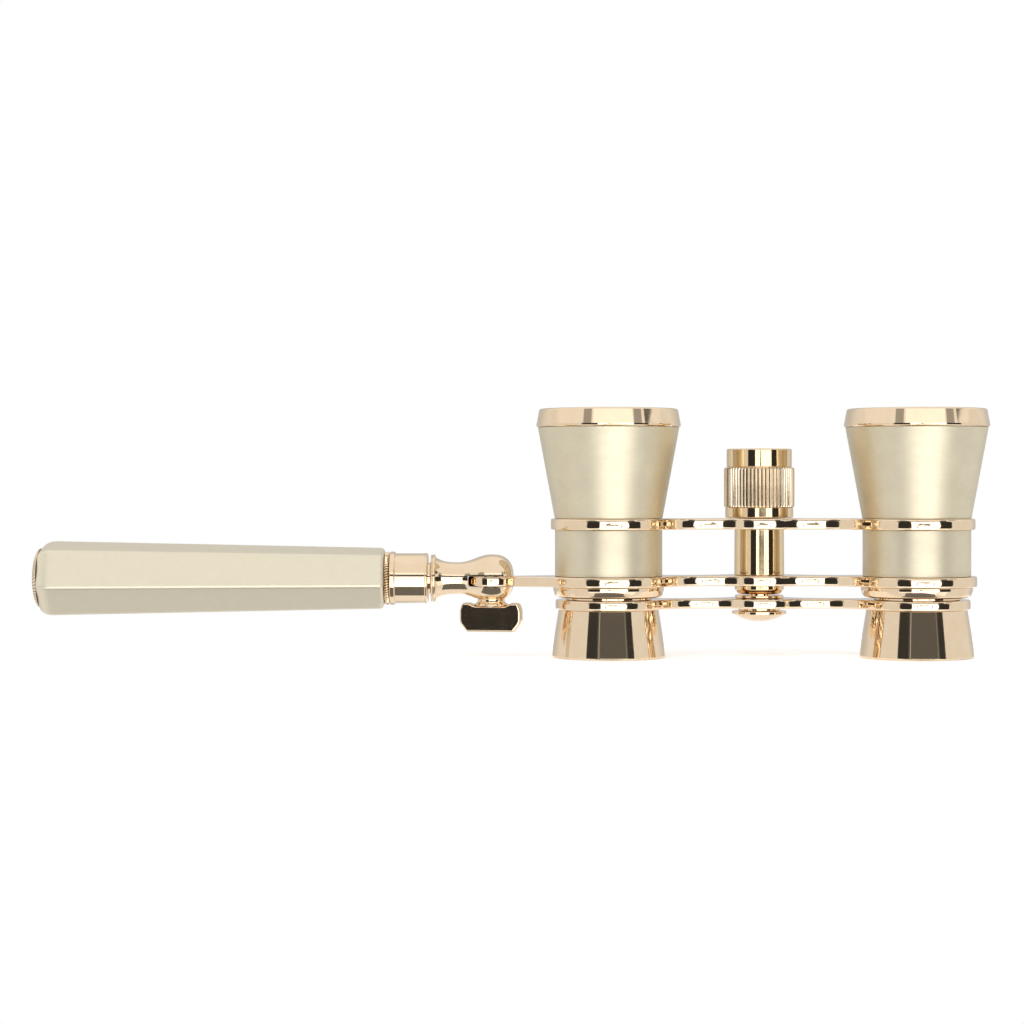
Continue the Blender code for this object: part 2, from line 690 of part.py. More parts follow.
def make_clevis(at, body):
    """The round fork that holds the tab, and the inner tube fixed in its end."""
    clevis = build_mesh(
        "clevis", turned(clevis_outline(), SHAFT_SIDES), at, "gold_plate", body, along_handle=True
    )
    bpy.context.view_layer.update()

    # In the clevis's own axes +Z runs out along the handle and +X points up.
    wide = BALL_R + 2.0
    slot_low = (MIDDLE_BRIDGE_Z[0] - RUNNING - HANDLE_Z, -wide, -wide)
    slot_high = (MIDDLE_BRIDGE_Z[1] + RUNNING - HANDLE_Z, wide, SLOT_DEPTH)
    add_boolean(clevis, tool_mesh(block(slot_low, slot_high)), "DIFFERENCE")
    spot_z = SPOT_FACE_Z - HANDLE_Z
    spot = block((spot_z - 2.0, -wide, -wide), (spot_z, wide, BALL_R))
    add_boolean(clevis, tool_mesh(spot), "DIFFERENCE")
    hole = turned(rod(SHANK_R + RUNNING, -wide, SHANK_Z[1] + SEAM - HANDLE_Z), SHAFT_SIDES)
    upright = Matrix.Rotation(math.pi / 2, 3, "Y")
    bmesh.ops.rotate(hole, cent=(0, 0, 0), matrix=upright, verts=hole.verts)
    add_boolean(clevis, tool_mesh(hole), "DIFFERENCE")

    tube = sleeve(INNER_TUBE_BORE_R, INNER_TUBE_R, CLEVIS_END + RUNNING, INNER_TUBE_END)
    tube_bm = turned(tube, INNER_SIDES)
    build_mesh("handle_inner_tube", tube_bm, at, "gold_plate", body, along_handle=True)
    stop_r = GRIP_BORE_R - SEAM
    stop = sleeve(INNER_TUBE_R + RUNNING, stop_r, INNER_TUBE_END - STOP_LENGTH, INNER_TUBE_END)
    stop_bm = turned(stop, INNER_SIDES)
    build_mesh("tube_stop", stop_bm, at, "plain_steel", body, along_handle=True)


def make_thumb_screw(at, shank_body, wing_body):
    """A wing on a collar under the clevis, and the shank that it turns up through the fork."""
    shank = turned(rod(SHANK_R, *SHANK_Z), SHAFT_SIDES)
    build_mesh("thumb_screw_shank", shank, at, "plain_steel", shank_body)

    half_height = (WING_Z[1] - WING_Z[0]) / 2
    side_r = (half_height**2 + WING_BULGE**2) / (2 * WING_BULGE)
    half_angle = math.asin(half_height / side_r)
    side_x = (WING_HALF_FOOT + WING_HALF_TOP) / 2 + WING_BULGE - side_r
    right = arc((side_x, (WING_Z[0] + WING_Z[1]) / 2), side_r, -half_angle, half_angle, 6)
    left = [(-x, z) for x, z in reversed(right)]
    plate = extruded(right + left, [], -WING_THICKNESS / 2, WING_THICKNESS / 2)
    stand_up = Matrix.Rotation(math.pi / 2, 3, "X")
    turn = Matrix.Rotation(WING_YAW, 3, "Z")
    bmesh.ops.rotate(plate, cent=(0, 0, 0), matrix=turn @ stand_up, verts=plate.verts)
    wing = build_mesh("thumb_screw_wing", plate, at, "gold_plate", wing_body)
    bpy.context.view_layer.update()
    top_z = SPOT_FACE_Z - SEAM
    foot_z = COLLAR_FOOT_Z
    collar = [(0, foot_z), (COLLAR_R * 0.6, foot_z + 0.2), (COLLAR_R * 0.87, foot_z + 0.8)]
    collar += [(COLLAR_R, foot_z + 1.6), (COLLAR_R, top_z), (0, top_z)]
    add_boolean(wing, tool_mesh(turned(collar, SHAFT_SIDES)), "UNION")
    socket = rod(SHANK_R + RUNNING, SHANK_Z[0] - SEAM, top_z + 1.0)
    add_boolean(wing, tool_mesh(turned(socket, SHAFT_SIDES)), "DIFFERENCE")


def make_grip_ends(at, body):
    """The ferrule and the knurled ring at the grip's near end, and the domed cap at its far end."""
    lip_r = INNER_TUBE_R + SEAM
    lip_end = FERRULE_START + FERRULE_LIP
    flange_start, flange_end = FERRULE_FLANGE_SPAN
    ferrule = [
        (lip_r, FERRULE_START),
        (FERRULE_R, FERRULE_START),
        (FERRULE_R, flange_start),
        (FERRULE_FLANGE_R, flange_start + RUNNING),
        (FERRULE_FLANGE_R, flange_end),
        (FERRULE_SPIGOT_R, flange_end),
        (FERRULE_SPIGOT_R, FERRULE_END),
        (GRIP_BORE_R, FERRULE_END),
        (GRIP_BORE_R, lip_end),
        (lip_r, lip_end),
    ]
    ferrule_bm = turned(ferrule, SHAFT_SIDES)
    build_mesh("grip_ferrule", ferrule_bm, at, "gold_plate", body, along_handle=True)
    ring_r = FERRULE_SPIGOT_R + RUNNING
    ring = sleeve(ring_r, FERRULE_FLANGE_R, flange_end + RUNNING, GRIP_START - RUNNING)
    ring_bm = turned(ring, SHAFT_SIDES)
    build_mesh("grip_knurled_ring", ring_bm, at, "gold_plate", body, along_handle=True)

    cap_start = GRIP_END + RUNNING
    plug_start = cap_start - END_CAP_PLUG
    cap = [(0, plug_start), (END_CAP_PLUG_R, plug_start), (END_CAP_PLUG_R, cap_start)]
    cap += [(END_CAP_R, cap_start), (END_CAP_R, cap_start + END_CAP_RIM)]
    cap += [(END_CAP_R - 1.2, END_CAP_TIP - 0.4), (END_CAP_R * 0.4, END_CAP_TIP - 0.1)]
    cap += [(0, END_CAP_TIP)]
    cap_bm = turned(cap, SHAFT_SIDES)
    build_mesh("grip_end_cap", cap_bm, at, "gold_plate", body, along_handle=True)


def make_grip(at, bush_body, body):
    """The bush that slides on the inner tube, and the tapered six-sided grip that turns on it."""
    bush = turned(sleeve(INNER_TUBE_R + RUNNING, GRIP_BORE_R - RUNNING, *BUSH_SPAN), INNER_SIDES)
    build_mesh("slide_bush", bush, at, "slide_nylon", bush_body, along_handle=True)
    make_grip_ends(at, body)

    to_corner = math.cos(math.pi / 6)
    start_r = GRIP_START_FLATS / 2 / to_corner
    end_r = GRIP_END_FLATS / 2 / to_corner
    hexagon = turned([(0, GRIP_START), (start_r, GRIP_START), (end_r, GRIP_END), (0, GRIP_END)], 6)
    turn = Matrix.Rotation(GRIP_TURN, 3, "Z")
    bmesh.ops.rotate(hexagon, cent=(0, 0, 0), matrix=turn, verts=hexagon.verts)
    grip = build_mesh("grip", hexagon, at, "grip_paint", body, along_handle=True)
    bpy.context.view_layer.update()
    counterbore = FERRULE_SPIGOT_R + SEAM
    step = FERRULE_END + SEAM
    bore = [(0, GRIP_START - 1.0), (counterbore, GRIP_START - 1.0), (counterbore, step)]
    bore += [(GRIP_BORE_R, step), (GRIP_BORE_R, GRIP_BORE_END), (0, GRIP_BORE_END)]
    add_boolean(grip, tool_mesh(turned(bore, INNER_SIDES)), "DIFFERENCE")
    pocket = rod(END_CAP_PLUG_R + SEAM, GRIP_END - END_CAP_PLUG, GRIP_END + 1.0)
    add_boolean(grip, tool_mesh(turned(pocket, INNER_SIDES)), "DIFFERENCE")


def main():
    clear_scene()
    hub = (CENTRE_X, HUB_SETBACK, 0.0)
    hinge_x = CENTRE_X - BARREL_SPACING / 2 - HINGE_REACH
    hinge = (hinge_x, 0.0, 0.0)
    handle = (hinge_x, 0.0, HANDLE_Z)
    frame = pivot("frame_origin", (CENTRE_X, 0.0, 0.0))
    carriage = pivot("carriage_axis", hub, frame)
    knob = pivot("knob_axis", hub, frame)
    clevis = pivot("handle_axis", hinge, frame)
    shank = pivot("thumb_screw_axis", hinge, clevis)
    wing = pivot("thumb_wing_axis", hinge, shank)
    bush = pivot("slide_axis", handle, clevis)
    grip = pivot("grip_axis", handle, bush)

    make_bridges(frame, carriage)
    for side, way in (("left", -1), ("right", 1)):
        at = (CENTRE_X + way * BARREL_SPACING / 2, 0.0, 0.0)
        make_objective(side, at, frame)
        make_waist(side, at, frame)
        make_eyepiece(side, at, carriage)
    make_housing(hub, frame)
    make_focus_rod(hub, carriage)
    make_knob(hub, knob)
    make_clevis(handle, clevis)
    make_thumb_screw(hinge, shank, wing)
    make_grip(handle, bush, grip)


main()
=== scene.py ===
"""Looks for the opera glasses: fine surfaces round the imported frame, their finishes and a plain studio.

Lengths are millimetres up to where a mesh is made. Places and main sizes come from the CAD boxes.
"""

import json
import math
from collections import namedtuple

import bmesh
import bpy
from mathutils import Matrix, Vector


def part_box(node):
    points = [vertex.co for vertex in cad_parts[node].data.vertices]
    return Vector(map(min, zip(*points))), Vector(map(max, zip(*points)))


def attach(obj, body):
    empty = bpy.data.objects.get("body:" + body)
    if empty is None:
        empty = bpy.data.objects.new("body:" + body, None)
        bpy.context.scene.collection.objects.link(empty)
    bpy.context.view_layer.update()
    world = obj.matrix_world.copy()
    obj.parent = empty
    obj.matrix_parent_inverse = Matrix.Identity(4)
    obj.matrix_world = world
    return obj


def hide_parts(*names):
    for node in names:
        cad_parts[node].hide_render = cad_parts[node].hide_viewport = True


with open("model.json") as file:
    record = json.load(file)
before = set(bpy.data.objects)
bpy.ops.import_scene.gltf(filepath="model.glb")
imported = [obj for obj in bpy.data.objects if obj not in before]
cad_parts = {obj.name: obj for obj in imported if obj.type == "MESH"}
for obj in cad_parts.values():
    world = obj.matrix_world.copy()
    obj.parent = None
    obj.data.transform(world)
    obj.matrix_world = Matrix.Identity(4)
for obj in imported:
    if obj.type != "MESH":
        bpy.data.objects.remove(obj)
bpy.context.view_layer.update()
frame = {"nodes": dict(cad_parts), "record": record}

MM = 0.001
SIDES = 144  # round a large turned piece
FINE_SIDES = 96  # round a small one
SEAM = 0.04  # hairline left between pieces that the CAD keeps further apart
EDGE = 0.12  # usual rounding of a turned corner

record = frame["record"]
body_of = {node: body for body, nodes in record["behaviour"]["bodies"].items() for node in nodes}
slot_of = {part["node"]: part["material_slot"] for part in record["subparts"]}

Span = namedtuple("Span", "x y radius low high")


# ---- Places, from the frame ----


def upright(node):
    """Axis, radius and heights of a node that stands on a vertical axis."""
    low, high = (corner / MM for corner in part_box(node))
    return Span((low.x + high.x) / 2, (low.y + high.y) / 2, (high.x - low.x) / 2, low.z, high.z)


HINGE = upright("thumb_screw_shank")
HANDLE_Z = sum(corner.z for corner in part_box("grip_ferrule")) / 2 / MM


def outward(node):
    """Axis, radius, and near and far ends along the handle of a node that lies on it."""
    low, high = (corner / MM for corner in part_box(node))
    return Span(HINGE.x, HINGE.y, (high.y - low.y) / 2, HINGE.x - high.x, HINGE.x - low.x)


# ---- Camera ----

CAMERA_AT = (4.9, -508.95, 35.84)
CAMERA_YAW = 0.0091
CAMERA_LENS = 86.0
CAMERA_SHIFT_Y = -0.0266


def make_camera():
    camera = bpy.data.objects.new("camera", bpy.data.cameras.new("camera"))
    bpy.context.scene.collection.objects.link(camera)
    camera.location = Vector(CAMERA_AT) * MM
    camera.rotation_euler = (math.pi / 2, 0.0, CAMERA_YAW)
    camera.data.lens = CAMERA_LENS
    camera.data.shift_y = CAMERA_SHIFT_Y
    camera.data.clip_start = 0.01
    bpy.context.scene.camera = camera


make_camera()


# ---- Mesh tools ----


def arc(centre, radius, start, end, steps):
    """Points on an arc, both ends included; angles in radians."""
    points = []
    for step in range(steps + 1):
        angle = start + (end - start) * step / steps
        points.append((centre[0] + radius * math.cos(angle), centre[1] + radius * math.sin(angle)))
    return points


def rounded(corners, steps=5):
    """A closed outline through (a, b, radius) corners, each rounded by an arc of that radius."""
    points = []
    for index, (a, b, radius) in enumerate(corners):
        here = Vector((a, b))
        if not radius:
            points.append((a, b))
            continue
        before = Vector(corners[index - 1][:2]) - here
        after = Vector(corners[(index + 1) % len(corners)][:2]) - here
        half = before.angle(after) / 2
        reach = min(radius / math.tan(half), before.length * 0.49, after.length * 0.49)
        radius = reach * math.tan(half)
        middle = (before.normalized() + after.normalized()).normalized()
        centre = here + middle * (radius / math.sin(half))
        first = here + before.normalized() * reach - centre
        last = here + after.normalized() * reach - centre
        start = math.atan2(first.y, first.x)
        sweep = math.remainder(math.atan2(last.y, last.x) - start, 2 * math.pi)
        points += arc(centre, radius, start, start + sweep, steps)
    return points


def skinned(loops, ring=False):
    """A bmesh through equal loops; a one-point loop closes an end, and a ring rejoins itself."""
    bm = bmesh.new()
    rows = [[bm.verts.new(point) for point in loop] for loop in loops]
    count = max(len(row) for row in rows)
    for this, that in zip(rows, rows[1:] + rows[:1] if ring else rows[1:]):
        for step in range(count):
            after = (step + 1) % count
            corners = [this[step % len(this)], this[after % len(this)]]
            corners += [that[after % len(that)], that[step % len(that)]]
            unique = list(dict.fromkeys(corners))
            if len(unique) > 2:
                bm.faces.new(unique)
    return bm


def circle(radius, z, sides, ripple=None):
    """One level of a turned shape; ripple(angle) is taken off the radius there."""
    if radius == 0:
        return [(0.0, 0.0, z)]
    points = []
    for step in range(sides):
        angle = 2 * math.pi * step / sides
        reach = radius - (ripple(angle) if ripple else 0.0)
        points.append((reach * math.cos(angle), reach * math.sin(angle), z))
    return points


def turned(profile, sides=SIDES):
    """A bmesh turned about Z from (radius, z) points; both ends on the axis, or a closed outline."""
    loops = [circle(radius, z, sides) for radius, z in profile]
    return skinned(loops, ring=profile[0][0] > 0)


def lathe(corners, sides=SIDES, steps=5):
    """A bmesh turned about Z from an outline of (radius, z, rounding) corners."""
    return turned(rounded(corners, steps), sides)


def plate(outline, holes, low, high, edge, power=3.5, rows=16):
    """A bmesh plate with a crowned rim; the outline runs counter-clockwise, and edge is its inset."""
    count = len(outline)
    inward = []
    for index in range(count):
        run = Vector(outline[(index + 1) % count]) - Vector(outline[index - 1])
        run.normalize()
        inward.append(Vector((-run.y, run.x)))
    flat = edge * 1.3  # a level border inside the crown, so that it shades well
    rims = [(flat, low)]
    for row in range(rows + 1):
        share = -math.cos(math.pi * row / rows)
        inset = edge * (1 - (1 - abs(share) ** power) ** (1 / power))
        rims.append((inset, (low + high) / 2 + (high - low) / 2 * share))
    rims.append((flat, high))
    loops = []
    for inset, z in rims:
        moved = [Vector(point) + way * inset for point, way in zip(outline, inward)]
        loops.append([(point.x, point.y, z) for point in moved])
    bm = skinned(loops)
    bm.verts.ensure_lookup_table()
    foot = list(bm.verts)[:count]
    top = list(bm.verts)[-count:]
    foot_edges = [bm.edges.get(pair) for pair in zip(foot, foot[1:] + foot[:1])]
    top_edges = [bm.edges.get(pair) for pair in zip(top, top[1:] + top[:1])]
    for hole in holes:
        lower = [bm.verts.new((x, y, low)) for x, y in hole]
        upper = [bm.verts.new((x, y, high)) for x, y in hole]
        for index in range(len(hole)):
            after = (index + 1) % len(hole)
            bm.faces.new([lower[index], lower[after], upper[after], upper[index]])
            foot_edges.append(bm.edges.get((lower[index], lower[after])))
            top_edges.append(bm.edges.get((upper[index], upper[after])))
    bmesh.ops.triangle_fill(bm, edges=foot_edges, use_beauty=True)
    bmesh.ops.triangle_fill(bm, edges=top_edges, use_beauty=True)
    return bm


def circle_loop(centre, radius, sides=FINE_SIDES):
    return arc(centre, radius, 0.0, 2 * math.pi * (sides - 1) / sides, sides - 1)


def to_mesh(name, bm):
    """A mesh in metres from a bmesh in millimetres, facing outwards."""
    bmesh.ops.recalc_face_normals(bm, faces=bm.faces)
    bmesh.ops.scale(bm, vec=(MM, MM, MM), verts=bm.verts)
    mesh = bpy.data.meshes.new(name)
    bm.to_mesh(mesh)
    bm.free()
    return mesh


ALONG_HANDLE = Matrix(((0, 0, -1, 0), (0, 1, 0, 0), (1, 0, 0, 0), (0, 0, 0, 1)))


def place(name, bm, at, along_handle=False):
    """An object in the frame; along the handle its own +Z runs outwards and its +X points up."""
    made = bpy.data.objects.new(name, to_mesh(name, bm))
    bpy.context.scene.collection.objects.link(made)
    turn = ALONG_HANDLE if along_handle else Matrix.Identity(4)
    made.matrix_world = Matrix.Translation(Vector(at) * MM) @ turn
    return made


def boolean(target, bm, operation):
    """Cuts or joins with a bmesh drawn in the target's own axes, then applies the result."""
    tool = bpy.data.objects.new("tool", to_mesh("tool", bm))
    bpy.context.scene.collection.objects.link(tool)
    bpy.context.view_layer.update()
    tool.matrix_world = target.matrix_world
    modifier = target.modifiers.new("boolean", "BOOLEAN")
    modifier.operation = operation
    modifier.solver = "EXACT"
    modifier.object = tool
    bpy.context.view_layer.update()
    graph = bpy.context.evaluated_depsgraph_get()
    target.data = bpy.data.meshes.new_from_object(target.evaluated_get(graph))
    target.modifiers.remove(modifier)
    bpy.data.objects.remove(tool)


def dress(made, node, finishes, sharp=40.0):
    """Smooths a piece, gives it its finishes, and lets it stand for a CAD node on that node's body."""
    for finish in finishes:
        made.data.materials.append(finish)
    made.data.shade_smooth()
    made.data.set_sharp_from_angle(angle=math.radians(sharp))
    weighted = made.modifiers.new("weighted_normals", "WEIGHTED_NORMAL")
    weighted.keep_sharp = True
    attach(made, body_of[node])
    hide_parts(node)
    return made


def surface(node, bm, at, finish, along_handle=False, sharp=40.0):
    """The usual piece: a fine surface that replaces one CAD node."""
    return dress(place(node + "_surface", bm, at, along_handle), node, [finish], sharp)


# index of the painted groove shade among a piece's finishes
GROOVE = 1


def paint_groove_shade(made, is_groove):
    """Gives the painted groove shade, the second finish on the piece, to the faces whose middle is in a
    groove.
    """
    for face in made.data.polygons:
        middle = face.center / MM
        if is_groove(math.atan2(middle.y, middle.x), math.hypot(middle.x, middle.y), middle.z):
            face.material_index = GROOVE


# ---- Finishes ----


CARD_RIM = (0.85, 1.15)  # where a card starts and stops fading, 1 being its edge


class Graph:
    """Short forms for building a node tree."""

    def __init__(self, tree):
        self.tree = tree

    def add(self, kind, inputs=None, **settings):
        node = self.tree.nodes.new(kind)
        for name, value in settings.items():
            setattr(node, name, value)
        for name, value in (inputs or {}).items():
            if isinstance(value, bpy.types.NodeSocket):
                self.tree.links.new(value, node.inputs[name])
            else:
                node.inputs[name].default_value = value
        return node

    def math(self, operation, first, second=0.0):
        return self.add("ShaderNodeMath", {0: first, 1: second}, operation=operation).outputs[0]

    def degrees(self, operation, *values):
        """The angle that an inverse function gives, in degrees."""
        return self.math("MULTIPLY", self.math(operation, *values), 180 / math.pi)

    def moved(self, level, share, target):
        """A level moved a share of the way to a target."""
        change = self.math("MULTIPLY", share, self.math("SUBTRACT", target, level))
        return self.math("ADD", level, change)

    def ranged(self, value, low, high, to_low, to_high, kind="LINEAR"):
        names = ("Value", "From Min", "From Max", "To Min", "To Max")
        inputs = dict(zip(names, (value, low, high, to_low, to_high)))
        made = self.add("ShaderNodeMapRange", inputs, interpolation_type=kind)
        return made.outputs["Result"]

    def inside(self, across, upward, square):
        """1 inside a card with rounded corners, 0 outside; each side is (value, low, high)."""
        powers = []
        for value, low, high in (across, upward):
            offset = self.math("SUBTRACT", value, (low + high) / 2)
            share = self.math("ABSOLUTE", self.math("DIVIDE", offset, (high - low) / 2))
            powers.append(self.math("POWER", share, square))
        reach = self.math("ADD", *powers)
        return self.ranged(reach, *CARD_RIM, 1.0, 0.0, "SMOOTHSTEP")

    def object_mm(self, scale=(1.0, 1.0, 1.0)):
        """The piece's own coordinates in millimetres, stretched by scale."""
        coordinates = self.add("ShaderNodeTexCoord").outputs["Object"]
        sizes = tuple(part / MM for part in scale)
        mapped = self.add("ShaderNodeMapping", {"Vector": coordinates, "Scale": sizes})
        return mapped.outputs["Vector"]

    def noise(self, vector, scale, detail=2.0, roughness=0.5):
        inputs = {"Vector": vector, "Scale": scale, "Detail": detail, "Roughness": roughness}
        return self.add("ShaderNodeTexNoise", inputs).outputs["Fac"]

    def mixed(self, factor, first, second):
        made = self.add("ShaderNodeMix", data_type="RGBA")
        self.tree.links.new(factor, made.inputs["Factor"])
        made.inputs[6].default_value = (*first, 1.0)
        made.inputs[7].default_value = (*second, 1.0)
        return made.outputs[2]

    def tinted(self, value, low, high, first, second):
        """The first colour where the value is low, the second where it is high."""
        return self.mixed(self.ranged(value, low, high, 0.0, 1.0), first, second)

    def bump(self, height, depth_mm, below=None):
        inputs = {"Height": height, "Distance": depth_mm * MM, "Strength": 1.0}
        if below is not None:
            inputs["Normal"] = below
        return self.add("ShaderNodeBump", inputs).outputs["Normal"]


def new_finish(name, metallic=0.0):
    made = bpy.data.materials.new(name)
    made.use_nodes = True
    graph = Graph(made.node_tree)
    shader = made.node_tree.nodes["Principled BSDF"]
    shader.inputs["Metallic"].default_value = metallic
    return made, graph, shader


def link(graph, shader, **sockets):
    for name, value in sockets.items():
        graph.tree.links.new(value, shader.inputs[name.replace("_", " ")])


GOLD = (0.885, 0.712, 0.51)
GOLD_DEEP = (0.86, 0.668, 0.455)


def make_gold(name, wave_mm, wave_depth, pale=GOLD, deep=GOLD_DEEP):
    """Mirror-polished rose-gold plate: slow polishing waves, fine hairlines and handling haze."""
    made, graph, shader = new_finish(name, 1.0)
    place_mm = graph.object_mm()
    waves = graph.noise(place_mm, 1.0 / wave_mm, 3.0, 0.45)
    haze = graph.noise(place_mm, 0.35, 4.0, 0.6)
    grain = graph.noise(place_mm, 9.0, 2.0, 0.6)
    colour = graph.tinted(haze, 0.35, 0.7, pale, deep)
    smeared = graph.ranged(haze, 0.3, 0.75, 0.025, 0.075)
    rough = graph.math("ADD", smeared, graph.math("MULTIPLY", grain, 0.02))
    normal = graph.bump(grain, 0.0006, below=graph.bump(waves, wave_depth))
    link(graph, shader, Base_Color=colour, Roughness=rough, Normal=normal)
    return made


def make_groove_shade():
    """Painted shade for the bottom of a knurl: gold darkened to a mottled dull brown."""
    made, graph, shader = new_finish("gold_plate_groove_shade", 0.8)
    shade_mottle = graph.noise(graph.object_mm(), 2.2, 3.0, 0.6)
    # painted shade: dark brown where the mottle is low, lighter brown where it is high
    colour = graph.tinted(shade_mottle, 0.35, 0.65, (0.13, 0.105, 0.075), (0.34, 0.275, 0.20))
    rough = graph.ranged(shade_mottle, 0.3, 0.7, 0.35, 0.6)
    link(graph, shader, Base_Color=colour, Roughness=rough, Normal=graph.bump(shade_mottle, 0.003))
    return made


def make_satin(name, base, pale, roughness, anisotropic):
    """Champagne plate brushed round and round the barrel: fine lines of uneven depth."""
    made, graph, shader = new_finish(name, 1.0)
    lines = graph.noise(graph.object_mm((0.05, 0.05, 1.0)), 14.0, 3.0, 0.7)
    broad = graph.noise(graph.object_mm((0.08, 0.08, 1.0)), 2.2, 2.0, 0.5)
    cloud = graph.noise(graph.object_mm(), 0.22, 3.0, 0.5)
    tone = graph.math("ADD", graph.math("MULTIPLY", lines, 0.6), graph.math("MULTIPLY", cloud, 0.4))
    colour = graph.tinted(tone, 0.35, 0.65, base, pale)
    rough = graph.ranged(broad, 0.3, 0.7, roughness - 0.03, roughness + 0.03)
    normal = graph.bump(lines, 0.0016, below=graph.bump(broad, 0.0025))
    tangent = graph.add("ShaderNodeTangent", direction_type="RADIAL", axis="Z")
    shader.inputs["Anisotropic"].default_value = anisotropic
    shader.inputs["Anisotropic Rotation"].default_value = 0.25
    link(graph, shader, Base_Color=colour, Roughness=rough, Normal=normal)
    graph.tree.links.new(tangent.outputs["Tangent"], shader.inputs["Tangent"])
    return made


def make_grip_paint():
    """Champagne metallic paint: fine flake, faint mottling and a slight orange peel."""
    made, graph, shader = new_finish("grip_paint", 0.7)
    place_mm = graph.object_mm()
    flake = graph.noise(place_mm, 5.5, 2.0, 0.7)
    mottle = graph.noise(place_mm, 0.5, 3.0, 0.5)
    peel = graph.noise(place_mm, 1.6, 2.0, 0.5)
    tone = graph.math("ADD", graph.math("MULTIPLY", flake, 0.8), graph.math("MULTIPLY", mottle, 0.2))
    colour = graph.tinted(tone, 0.36, 0.64, (0.73, 0.66, 0.505), (0.79, 0.72, 0.57))
    rough = graph.ranged(flake, 0.3, 0.7, 0.34, 0.42)
    normal = graph.bump(flake, 0.004, below=graph.bump(peel, 0.003))
    link(graph, shader, Base_Color=colour, Roughness=rough, Normal=normal)
    return made


def make_lens_glass():
    """Coated glass: clear, with a faint tint and a few dust specks in the coating."""
    made, graph, shader = new_finish("lens_glass")
    dust = graph.noise(graph.object_mm(), 2.5, 4.0, 0.7)
    colour = graph.tinted(dust, 0.4, 0.7, (0.93, 0.97, 0.99), (0.88, 0.94, 0.97))
    rough = graph.ranged(dust, 0.62, 0.72, 0.0, 0.05)
    shader.inputs["Transmission Weight"].default_value = 1.0
    shader.inputs["IOR"].default_value = 1.52
    shader.inputs["Coat Weight"].default_value = 0.6
    shader.inputs["Coat IOR"].default_value = 1.7
    shader.inputs["Coat Tint"].default_value = (0.75, 0.62, 0.95, 1.0)
    link(graph, shader, Base_Color=colour, Roughness=rough)
    return made


def make_matt(name, low, high, roughness):
    """A matt finish with a dusty grain: black lacquer, or pale nylon."""
    made, graph, shader = new_finish(name)
    grain = graph.noise(graph.object_mm(), 4.0, 3.0, 0.6)
    colour = graph.tinted(grain, 0.35, 0.65, low, high)
    rough = graph.ranged(grain, 0.3, 0.7, roughness - 0.06, roughness + 0.06)
    normal = graph.bump(grain, 0.004)
    link(graph, shader, Base_Color=colour, Roughness=rough, Normal=normal)
    return made


def make_steel():
    """Turned steel: fine rings from the tool."""
    made, graph, shader = new_finish("plain_steel", 1.0)
    rings = graph.noise(graph.object_mm((0.05, 0.05, 1.0)), 9.0, 2.0, 0.6)
    colour = graph.tinted(rings, 0.35, 0.65, (0.50, 0.50, 0.52), (0.60, 0.60, 0.62))
    rough = graph.ranged(rings, 0.3, 0.7, 0.22, 0.34)
    link(graph, shader, Base_Color=colour, Roughness=rough, Normal=graph.bump(rings, 0.002))
    return made


gold = make_gold("gold_plate", 2.6, 0.0016)
gold_cast = make_gold("gold_plate_cast", 1.8, 0.018)
gold_shaft = make_gold("gold_plate_shaft", 2.6, 0.0016, (0.84, 0.645, 0.41), (0.80, 0.60, 0.36))
# painted shade for the valleys of the knurl, the rope ring and the end cap
gold_groove_shade = make_groove_shade()
gold_knurl = make_gold("gold_plate_knurl", 1.6, 0.006, (0.80, 0.675, 0.52), (0.74, 0.61, 0.45))
bell_satin = make_satin("champagne_satin", (0.715, 0.64, 0.48), (0.80, 0.73, 0.555), 0.46, 0.2)
grip_paint = make_grip_paint()
lens_glass = make_lens_glass()
black_lacquer = make_matt("black_brass", (0.010, 0.010, 0.011), (0.028, 0.027, 0.026), 0.55)
nylon = make_matt("slide_nylon", (0.70, 0.68, 0.62), (0.80, 0.78, 0.73), 0.5)
steel = make_steel()
finish_of = {
    "gold_plate": gold,
    "champagne_satin": bell_satin,
    "grip_paint": grip_paint,
    "lens_glass": lens_glass,
    "black_brass": black_lacquer,
    "plain_steel": steel,
    "slide_nylon": nylon,
}
for node, carried in frame["nodes"].items():
    carried.data.materials.clear()
    carried.data.materials.append(finish_of[slot_of[node]])
    carried.data.shade_smooth()
    carried.data.set_sharp_from_angle(angle=math.radians(40.0))


# ---- Bridges ----

OUTLINE_STEP = math.radians(3.0)
PLATE_EDGE = 0.30
HUB_FRONT_R = 9.3
FRONT_ARM_R = 12.0
BACK_ARM_R = 14.0
TAB_HALF_WIDTH = 2.0
TAB_TAPER = math.radians(24.0)
TAB_FILLET_R = 4.5

BARRELS = {side: upright(side + "_waist_tube") for side in ("left", "right")}
HUB = upright("focus_housing")
LEFT_AXIS = (BARRELS["left"].x, BARRELS["left"].y)
RIGHT_AXIS = (BARRELS["right"].x, BARRELS["right"].y)
HUB_AXIS = (HUB.x, HUB.y)


def touching_centre(first, first_r, second, second_r, radius, side):
    """Centre of a circle that touches two others from outside; side is +1 for behind, -1 in front."""
    start = Vector(first)
    apart = Vector(second) - start
    reach_a = first_r + radius
    reach_b = second_r + radius
    along = (reach_a**2 - reach_b**2 + apart.length_squared) / (2 * apart.length)
    across = math.sqrt(reach_a**2 - along**2)
    line = apart.normalized()
    normal = Vector((-line.y, line.x))
    if normal.y * side < 0:
        normal = -normal
    return start + line * along + normal * across


def arc_between(centre, radius, before, after, turn):
    """The arc between the touching points of two circles, without its end; turn is +1 to the left."""
    here = Vector(centre)
    start = math.atan2(before[1] - here.y, before[0] - here.x)
    sweep = math.atan2(after[1] - here.y, after[0] - here.x) - start
    while sweep * turn <= 0:
        sweep += 2 * math.pi * turn
    steps = max(2, round(abs(sweep) / OUTLINE_STEP))
    return arc(centre, radius, start, start + sweep, steps)[:-1]


